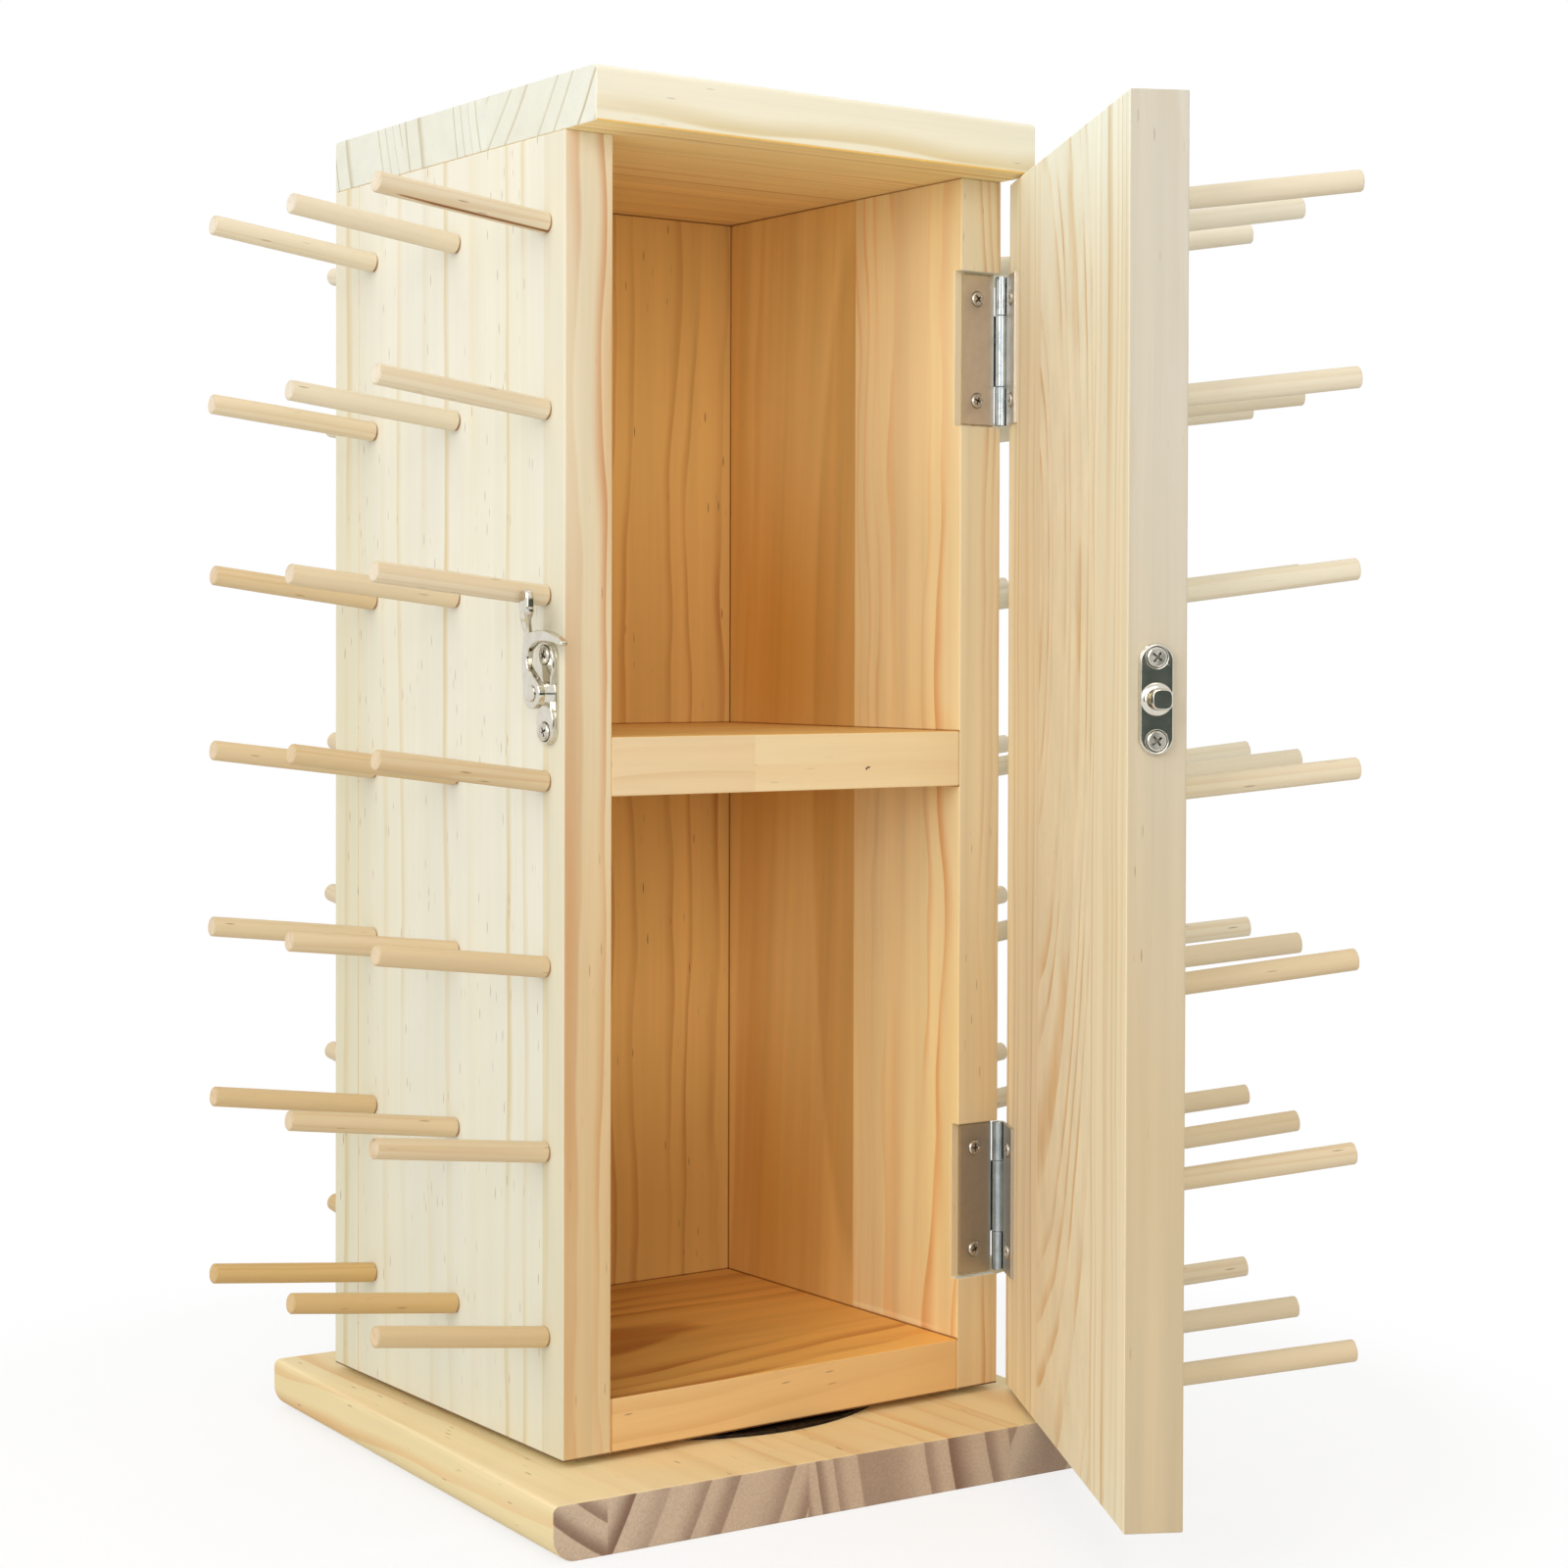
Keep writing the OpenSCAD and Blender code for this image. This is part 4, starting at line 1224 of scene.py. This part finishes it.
@dataclass
class Hinges:
    """The two butt hinges: rolled leaves, pins and screws, drawn closed."""

    leaf: float = 1.0
    knuckle: float = 3.7
    roll: float = 4.1
    bore: float = 2.0
    middle: float = 20.96
    end: float = 11.36
    screw_x: float = 68.0
    screw_z: float = 15.0
    hole: float = 2.3
    head: CrossScrew = CrossScrew(2.18, 0.5, 0.9, 0.9)

    def build(self) -> None:
        """Makes the leaves, pins and screws of both hinges."""
        screws = {1: bmesh.new(), -1: bmesh.new()}
        pins = bmesh.new()
        for number, level in enumerate(("upper", "lower")):
            low, high = box_mm(f"hinge_{level}_case_leaf")
            middle = Vector(joint("door_hinge")["pos_m"]) / MM
            middle.z = (low.z + high.z) / 2
            length = high.z - low.z
            self.leaf_piece(f"hinge_{level}_case_leaf", low.x, middle, length, 1)
            self.leaf_piece(f"hinge_{level}_door_leaf", low.x, middle, length, -1)
            rod = bmesh.new()
            half = length / 2 + 0.2
            turned_rod(rod, [(-half, 0.8), (-half + 0.15, 0.95), (half - 0.15, 0.95), (half, 0.8)], 24)
            join_into(pins, rod, Matrix.Translation(middle))
            seat = self.knuckle / 2 - self.leaf
            for side in (-1, 1):
                for leaf, twist in ((1, 10), (-1, 0)):
                    place = Vector((self.screw_x, middle.y + leaf * seat, middle.z + side * self.screw_z))
                    join_into(screws[leaf], self.head.shape(31 * side + 47 * number + twist),
                              Matrix.Translation(place) @ turned(leaf * 90, "X"))
        finish_piece(pins, "hinge_pins", "cabinet", [HINGE_NICKEL.material()], "hinge_nickel", 30)
        look = [SCREW.material(), PIT.material()]
        finish_piece(screws[1], "hinge_case_screws", "cabinet", look, "steel", 25)
        finish_piece(screws[-1], "hinge_door_screws", "door", look, "steel", 25)

    def leaf_piece(self, node: str, start: float, pin: Vector, length: float, side: int) -> None:
        """Makes one leaf with its rolled knuckles.

        Args:
            node: the leaf's node.
            start: X of the leaf's free edge.
            pin: the middle of the hinge's pin.
            length: the hinge's length.
            side: 1 for the case leaf, which lies behind the pin, and -1 for the door leaf.
        """
        outer, inner, full, half = self.knuckle / 2, self.bore / 2, self.roll / 2, length / 2
        near, far = start - pin.x, -outer - 0.45
        drilled = [round_points(self.hole, 0, 32, (self.screw_x - pin.x, end * self.screw_z))
                   for end in (-1, 1)]
        sheet = punched_plate([Vector((x, z, 0)) for x, z in (
            (near, -half), (far, -half), (far, half), (near, half))], drilled, self.leaf)
        soften(sheet, upper_rims(sheet, self.leaf), 0.16)
        shape = bmesh.new()
        join_into(shape, sheet, Matrix(((1, 0, 0, pin.x), (0, 0, -side, pin.y + side * outer),
                                        (0, 1, 0, pin.z), (0, 0, 0, 1))))
        spans = [(-self.middle / 2, self.middle / 2)] if side > 0 else [
            (-half, -half + self.end), (half - self.end, half)]
        arc = range(90, -210, -15)
        wall = [(far - 0.2, outer)] + [(full * cosd(a), full * sind(a)) for a in arc[1:]] + [
            (inner * cosd(a), inner * sind(a)) for a in reversed(arc)] + [(far - 0.2, outer - self.leaf)]
        for low, high in spans:
            roll = slab([pin + Vector((x, side * y, low)) for x, y in wall], Vector((0, 0, high - low)))
            soften(roll, level_rims(roll), 0.14)
            # Every knuckle face takes the bluish painted reflection.
            for face in roll.faces:
                face.material_index = 1
            join_into(shape, roll)
        # The lower hinge takes the darker copy, painted shade.
        look = LEAF_LOW_SHADED if "lower" in node else LEAF_NICKEL
        finish_piece(shape, node, "cabinet" if side > 0 else "door",
                     [look.material(), ROLL_REFLECTION.material()], "hinge_nickel", 28)


@dataclass
class Latch:
    """The hook latch on the left panel and its keeper on the door, drawn closed.

    Both are drawn with X forward, Y up and Z out from the panel, round the middle of their plate.
    """

    width: float = 8.6
    length: float = 27.4
    thick: float = 2.0
    step: float = 0.9
    waist_radius: float = 14.0
    screws: float = 20.6
    hole: float = 2.62
    keeper_in: float = 8.1
    hook_low: float = 4.0
    hook_thick: float = 2.2
    head: CrossScrew = CrossScrew(2.5, 0.5, 1.3, 1.1)

    def build(self) -> None:
        """Makes the latch and the keeper."""
        top = self.hook_low + self.hook_thick
        self.plate("latch_plate", "cabinet", 1.5, [(0, 4.0), (3.45, 3.1), (3.7, 2.95), (3.8, 2.7)])
        self.plate("keeper_plate", "door", 0.0,
                   [(0, 4.15), (2.05, 4.1), (2.4, 3.85), (2.7, 3.3), (2.8, 2.6)])
        self.pair("latch_screws", "cabinet", (24, 60))
        self.pair("keeper_screws", "door", (38, 52))
        pin = bmesh.new()
        turned_rod(pin, [(0.5, 1.5), (top + 0.05, 1.5), (top + 0.05, 2.25), (top + 0.3, 2.3),
                         (top + 0.5, 2.15), (top + 0.6, 1.7), (top + 0.62, 0.8)], 32)
        self.set_down(pin, "latch_pivot", "cabinet", 40)
        post = bmesh.new()
        turned_rod(post, [(1.0, 1.6), (top + 0.4, 1.6), (top + 0.4, 2.4), (top + 0.8, 2.7),
                          (top + 1.3, 2.65), (top + 1.6, 2.45), (top + 1.7, 2.2)], 40)
        for vert in post.verts:
            if vert.co.z > top + 0.39 and vert.co.xy.length > 1.7:
                angle = math.atan2(vert.co.y, vert.co.x)
                vert.co.xy *= (abs(math.cos(angle)) ** 3.2 + abs(math.sin(angle)) ** 3.2) ** (-1 / 3.2)
        self.set_down(post, "keeper_post", "door", 32)
        self.set_down(self.hook(), "latch_hook", "latch_hook", 40)

    def set_down(self, shape: BMesh, node: str, body: str, sharp: float) -> None:
        """Stands a shape on the left side, at the latch or at the keeper, and finishes it.

        Args:
            shape: the shape.
            node: the node that it replaces.
            body: the body that it rides on, which is the door for the keeper.
            sharp: the angle in degrees from which an edge stays sharp.
        """
        pivot = Vector(joint("latch_swing")["pos_m"]) / MM
        face = box_mm("left_panel")[0].x
        middle = Vector((face, face + self.keeper_in if body == "door" else pivot.y, pivot.z))
        stand = Matrix(((0, 0, -1, middle.x), (-1, 0, 0, middle.y), (0, 1, 0, middle.z), (0, 0, 0, 1)))
        bmesh.ops.transform(shape, matrix=stand, verts=shape.verts)
        if "screws" in node:
            finish_piece(shape, node, body, [SCREW.material(), PIT.material()], "steel", sharp)
        else:
            finish_piece(shape, node, body, [NICKEL.material()], "latch_nickel", sharp)

    def outline(self, waist: float, shrink: float) -> list[Vector]:
        """Gives the outline of a plate with round ends.

        Args:
            waist: how far its sides are drawn in at the middle.
            shrink: how much smaller it is all round.

        Returns:
            The points, in order.
        """
        radius = self.width / 2 - shrink
        straight = self.length / 2 - self.width / 2
        half = []
        for number in range(-8, 9):
            y = straight * number / 8
            dent = max(0.0, waist - (self.waist_radius - math.sqrt(self.waist_radius ** 2 - y * y)))
            half.append(Vector((radius - dent, y, 0)))
        half += [Vector((radius * cosd(a), straight + radius * sind(a), 0)) for a in range(10, 180, 10)]
        return half + [-point for point in half]

    def plate(self, node: str, body: str, waist: float, boss: Sequence[tuple[float, float]]) -> None:
        """Makes a plate: a flat foot, a waisted upper part and a boss.

        Args:
            node: the plate's node.
            body: the body that it rides on.
            waist: how far the upper part's sides are drawn in.
            boss: height and radius of the boss's rings.
        """
        holes = [round_points(self.hole, 0, 32, (0, end * self.screws / 2)) for end in (-1, 1)]
        shape = bmesh.new()
        foot = punched_plate(self.outline(0, 0), holes, self.step)
        soften(foot, [edge for edge in upper_rims(foot, self.step)
                      if abs(edge.verts[0].co.x) > 2.7 or abs(edge.verts[0].co.y) > 13.2], 0.2)
        join_into(shape, foot)
        upper = punched_plate(self.outline(waist, 0.12), holes, self.thick)
        soften(upper, upper_rims(upper, self.thick), 0.32, 3)
        join_into(shape, upper)
        turned_rod(shape, boss, 40)
        self.set_down(shape, node, body, 32)

    def pair(self, node: str, body: str, twists: tuple[float, float]) -> None:
        """Makes the two screws of a plate.

        Args:
            node: the screws' node.
            body: the body that they ride on.
            twists: degrees that each cross recess is turned by.
        """
        shape = bmesh.new()
        for end, twist in zip((-1, 1), twists):
            place = Matrix.Translation((0, end * self.screws / 2, self.thick))
            join_into(shape, self.head.shape(twist), place)
        self.set_down(shape, node, body, 25)

    def hook(self) -> BMesh:
        """Makes the hook with its bent thumb pad.

        Each bend gives the place forward and up, and half the width.

        Returns:
            The hook.
        """
        bends = [Vector(p) for p in ((0, 0, 4.2), (-1.3, 2.6, 3.3), (-3.0, 5.6, 1.8), (-3.6, 8.6, 1.25),
                                     (-3.3, 11.6, 1.4), (-1.4, 14.1, 1.8), (2.2, 15.3, 1.6),
                                     (7.2, 15.4, 1.4), (11.6, 14.6, 1.05), (15.0, 13.4, 0.65))]
        path = smooth_path(bends, 5)
        left, right = [], []
        for before, here, after in zip(path[:1] + path, path, path[1:] + path[-1:]):
            way = (after - before).xy.normalized() * here.z
            left.append(Vector((here.x - way.y, here.y + way.x, self.hook_low)))
            right.append(Vector((here.x + way.y, here.y - way.x, self.hook_low)))
        caps = []
        for end, near in ((path[-1], path[-2]), (path[0], path[1])):
            away = math.degrees(math.atan2(end.y - near.y, end.x - near.x)) + 90
            caps.append([Vector((end.x + end.z * cosd(away - t), end.y + end.z * sind(away - t),
                                 self.hook_low)) for t in range(15, 180, 15)])
        shape = slab(left + caps[0] + right[::-1] + caps[1], Vector((0, 0, self.hook_thick)))
        soften(shape, level_rims(shape), 0.35, 3)
        join_into(shape, self.thumb_pad())
        return shape

    def thumb_pad(self) -> BMesh:
        """Makes the stem that bends out and widens into the thumb pad.

        Each station gives the place forward, up and out, and half the size forward and out.

        Returns:
            The stem and the pad.
        """
        stations = [Vector(p) for p in (
            (-3.6, 13.2, 5.1, 1.3, 0.85), (-3.3, 15.6, 5.2, 1.4, 0.8), (-2.7, 17.3, 5.7, 1.7, 0.75),
            (-1.1, 18.8, 7.0, 2.0, 0.75), (0.9, 20.0, 8.3, 2.15, 0.85), (2.5, 21.0, 9.0, 2.2, 1.15),
            (3.05, 22.1, 9.3, 2.2, 1.45), (3.1, 24.4, 9.3, 2.2, 1.5), (3.1, 26.4, 9.3, 2.15, 1.4),
            (3.1, 27.3, 9.3, 1.8, 1.1), (3.1, 27.6, 9.3, 1.2, 0.6))]
        shape = bmesh.new()
        rim: list = []
        last: list = []
        for forward, up, out, wide, deep in smooth_path(stations, 4):
            ring = [Vector((forward + wide * self.squared(cosd(a)), up, out + deep * self.squared(sind(a))))
                    for a in range(0, 360, 12)]
            if rim:
                rim, verts = draw_ring(shape, rim, 0, 1)
                for vert in verts:
                    vert.co = min(zip(last, ring), key=lambda pair: (pair[0] - vert.co).length)[1]
            else:
                rim = closed_ring(shape, ring)
                bmesh.ops.contextual_create(shape, geom=rim)
            last = ring
        bmesh.ops.contextual_create(shape, geom=rim)
        bmesh.ops.recalc_face_normals(shape, faces=shape.faces)
        return shape

    @staticmethod
    def squared(part: float) -> float:
        """Bends a sine or cosine so that a circle becomes a rounded square."""
        return math.copysign(abs(part) ** 0.55, part)


def smooth_path(points: Sequence[Vector], steps: int) -> list[Vector]:
    """Draws a smooth line through points.

    Args:
        points: the points.
        steps: how many steps each stretch between two points gets.

    Returns:
        The points of the smooth line.
    """
    line = []
    padded = [points[0] * 2 - points[1]] + list(points) + [points[-1] * 2 - points[-2]]
    for a, b, c, d in zip(padded, padded[1:], padded[2:], padded[3:]):
        for number in range(steps):
            t = number / steps
            line.append(0.5 * (2 * b + (c - a) * t + (2 * a - 5 * b + 4 * c - d) * t * t
                               + (3 * b - a - 3 * c + d) * t ** 3))
    return line + [points[-1]]


class Turntable:
    """The flat ball bearing and the case's dowels, which keep their CAD shapes."""

    def build(self) -> None:
        """Gives every node that is still shown its finish."""
        for name, node in frame["nodes"].items():
            if node.hide_render:
                continue
            if name == "case_dowels":
                look = CASE_OUT.material(Grain.ALONG_Z, Pith())
            elif any(word in name for word in ("screws", "balls", "rivet")):
                look = NICKEL.material()
            else:
                look = BLACK.material()
            node.data.materials.clear()
            node.data.materials.append(look)


@dataclass
class Studio:
    """The pale floor, the soft lamps and the camera at the photograph's angle."""

    eye: Vector = Vector((-476.79, -726.16, 234.16))
    yaw: float = 35.47
    pitch: float = -0.85
    roll: float = 0.16
    focal: float = 2972.43
    centre: tuple[float, float] = (804.24, 708.80)
    image: float = 1600.0
    film: float = 36.0
    floor_side: float = 60000.0

    def build(self) -> None:
        """Sets up the whole studio."""
        self.floor()
        self.world()
        for name, place, size, power in (("left_softbox", (-1500, -400, 900), 1100, 9.4),
                                         ("front_softbox", (-900, -1700, 700), 1000, 9.6),
                                         ("top_softbox", (300, 100, 1900), 1500, 8.5)):
            self.lamp(name, Vector(place), size, power)
        room, panel = (0, -150), (-80, -52)
        for name, place, width, height, aim in (
                ("front_flag", (-330, -1500, 190), 620, 420, room),
                ("side_flag", (-1200, -900, 240), 420, 700, room),
                ("latch_flag", (-30, -125, 221), 85, 24, panel),
                ("pad_flag", (-30, -125, 248), 85, 7, panel)):
            self.flag(name, Vector(place), (width, height), Vector((*aim, place[2])))
        self.camera()

    def camera(self) -> None:
        """Places the camera that the photograph was taken with."""
        data = bpy.data.cameras.new("photo_camera")
        data.sensor_width = self.film
        data.sensor_fit = "HORIZONTAL"
        data.lens = self.focal * self.film / self.image
        data.shift_x = (self.image / 2 - self.centre[0]) / self.image
        data.shift_y = (self.centre[1] - self.image / 2) / self.image
        data.clip_start, data.clip_end = 0.01, 100.0
        item = add_object("photo_camera", data)
        turn = turned(-self.yaw, "Z") @ turned(90 + self.pitch, "X") @ turned(self.roll, "Z")
        item.matrix_world = Matrix.Translation(self.eye * MM) @ turn
        bpy.context.scene.camera = item

    def card(self, name: str, size: tuple[float, float], stand: Matrix) -> tuple[Object, Wiring]:
        """Adds a flat card that belongs to the studio.

        Args:
            name: the card's name.
            size: its width and height, in mm.
            stand: its place and turn.

        Returns:
            The card, and the wiring of its material.
        """
        shape = bmesh.new()
        bmesh.ops.create_grid(shape, x_segments=1, y_segments=1, size=0.5)
        bmesh.ops.scale(shape, vec=(size[0] * MM, size[1] * MM, 1), verts=shape.verts)
        bmesh.ops.transform(shape, matrix=stand, verts=shape.verts)
        mesh = bpy.data.meshes.new(name)
        shape.to_mesh(mesh)
        shape.free()
        made, wire = new_material(name)
        mesh.materials.append(made)
        item = add_object(name, mesh)
        return item, wire

    def direct(self, wire: Wiring) -> NodeSocket:
        """Gives 1 where a thing is seen by the camera, in a mirror or through glass."""
        path = wire.add("ShaderNodeLightPath").outputs
        mirrored = wire.math("MAXIMUM", path["Is Glossy Ray"], path["Is Transmission Ray"])
        return wire.math("MAXIMUM", path["Is Camera Ray"], mirrored)

    def floor(self) -> None:
        """Makes the pale floor, which keeps the rack's shadow and turns white far from the rack."""
        _, wire = self.card("studio_floor", (self.floor_side, self.floor_side), Matrix.Identity(4))
        direct = self.direct(wire)
        shader = wire.shade({"Roughness": 0.9, "Specular IOR Level": 0.0,
                             "Base Color": wire.mix(direct, (0.75, 0.75, 0.75, 1), WHITE)})
        far = wire.vector("LENGTH", wire.here())
        bright = wire.math("MAXIMUM", wire.rise(far, 0.1, 0.3), 0.72)
        glow = wire.add("ShaderNodeEmission", {"Color": WHITE, "Strength": 1.0})
        blend = wire.add("ShaderNodeMixShader", {0: wire.times(direct, bright),
                                                 1: shader.outputs[0], 2: glow.outputs[0]})
        wire.put(wire.tree.nodes["Material Output"], {"Surface": blend.outputs[0]})

    def world(self) -> None:
        """Makes the white surroundings, seen at full strength and shining softly."""
        world = bpy.data.worlds.new("studio_world")
        bpy.context.scene.world = world
        world.use_nodes = True
        wire = Wiring(world.node_tree)
        power = wire.add("ShaderNodeMapRange", {0: self.direct(wire), 3: 0.58, 4: 1.0}).outputs[0]
        wire.put(world.node_tree.nodes["Background"], {"Color": WHITE, "Strength": power})

    def flag(self, name: str, place: Vector, size: tuple[float, float], aim: Vector) -> None:
        """Stands a dark card that only reflections see, so that polished metal shows contrast.

        Args:
            name: the card's name.
            place: its middle, in mm.
            size: its width and height, in mm.
            aim: the point that it faces, in mm.
        """
        turn = (aim - place).to_track_quat("Z", "Y").to_matrix().to_4x4()
        item, wire = self.card(name, size, Matrix.Translation(place * MM) @ turn)
        wire.shade({"Base Color": seen(70, 84, 80)})
        item.visible_camera = item.visible_diffuse = item.visible_shadow = False

    def lamp(self, name: str, place: Vector, size: float, power: float) -> None:
        """Hangs a square softbox that looks at the rack.

        Args:
            name: the lamp's name.
            place: where it hangs, in mm.
            size: its side, in mm.
            power: its power in watts.
        """
        data = bpy.data.lights.new(name, "AREA")
        data.shape = "SQUARE"
        data.size = size * MM
        data.energy = power
        item = add_object(name, data)
        item.location = place * MM
        item.rotation_euler = (Vector((0, 0, 190)) - place).to_track_quat("-Z", "Y").to_euler()


def main() -> None:
    """Builds the rack's pieces in order, and the studio round them."""
    logging.basicConfig(level=logging.INFO, format="%(message)s")
    bpy.context.scene.view_settings.view_transform = "Standard"
    for part in (Base(), Case(), Door(), Pegs(), Hinges(), Latch(), Turntable(), Studio()):
        LOG.info("building %s", type(part).__name__)
        part.build()


if __name__ == "__main__":
    main()
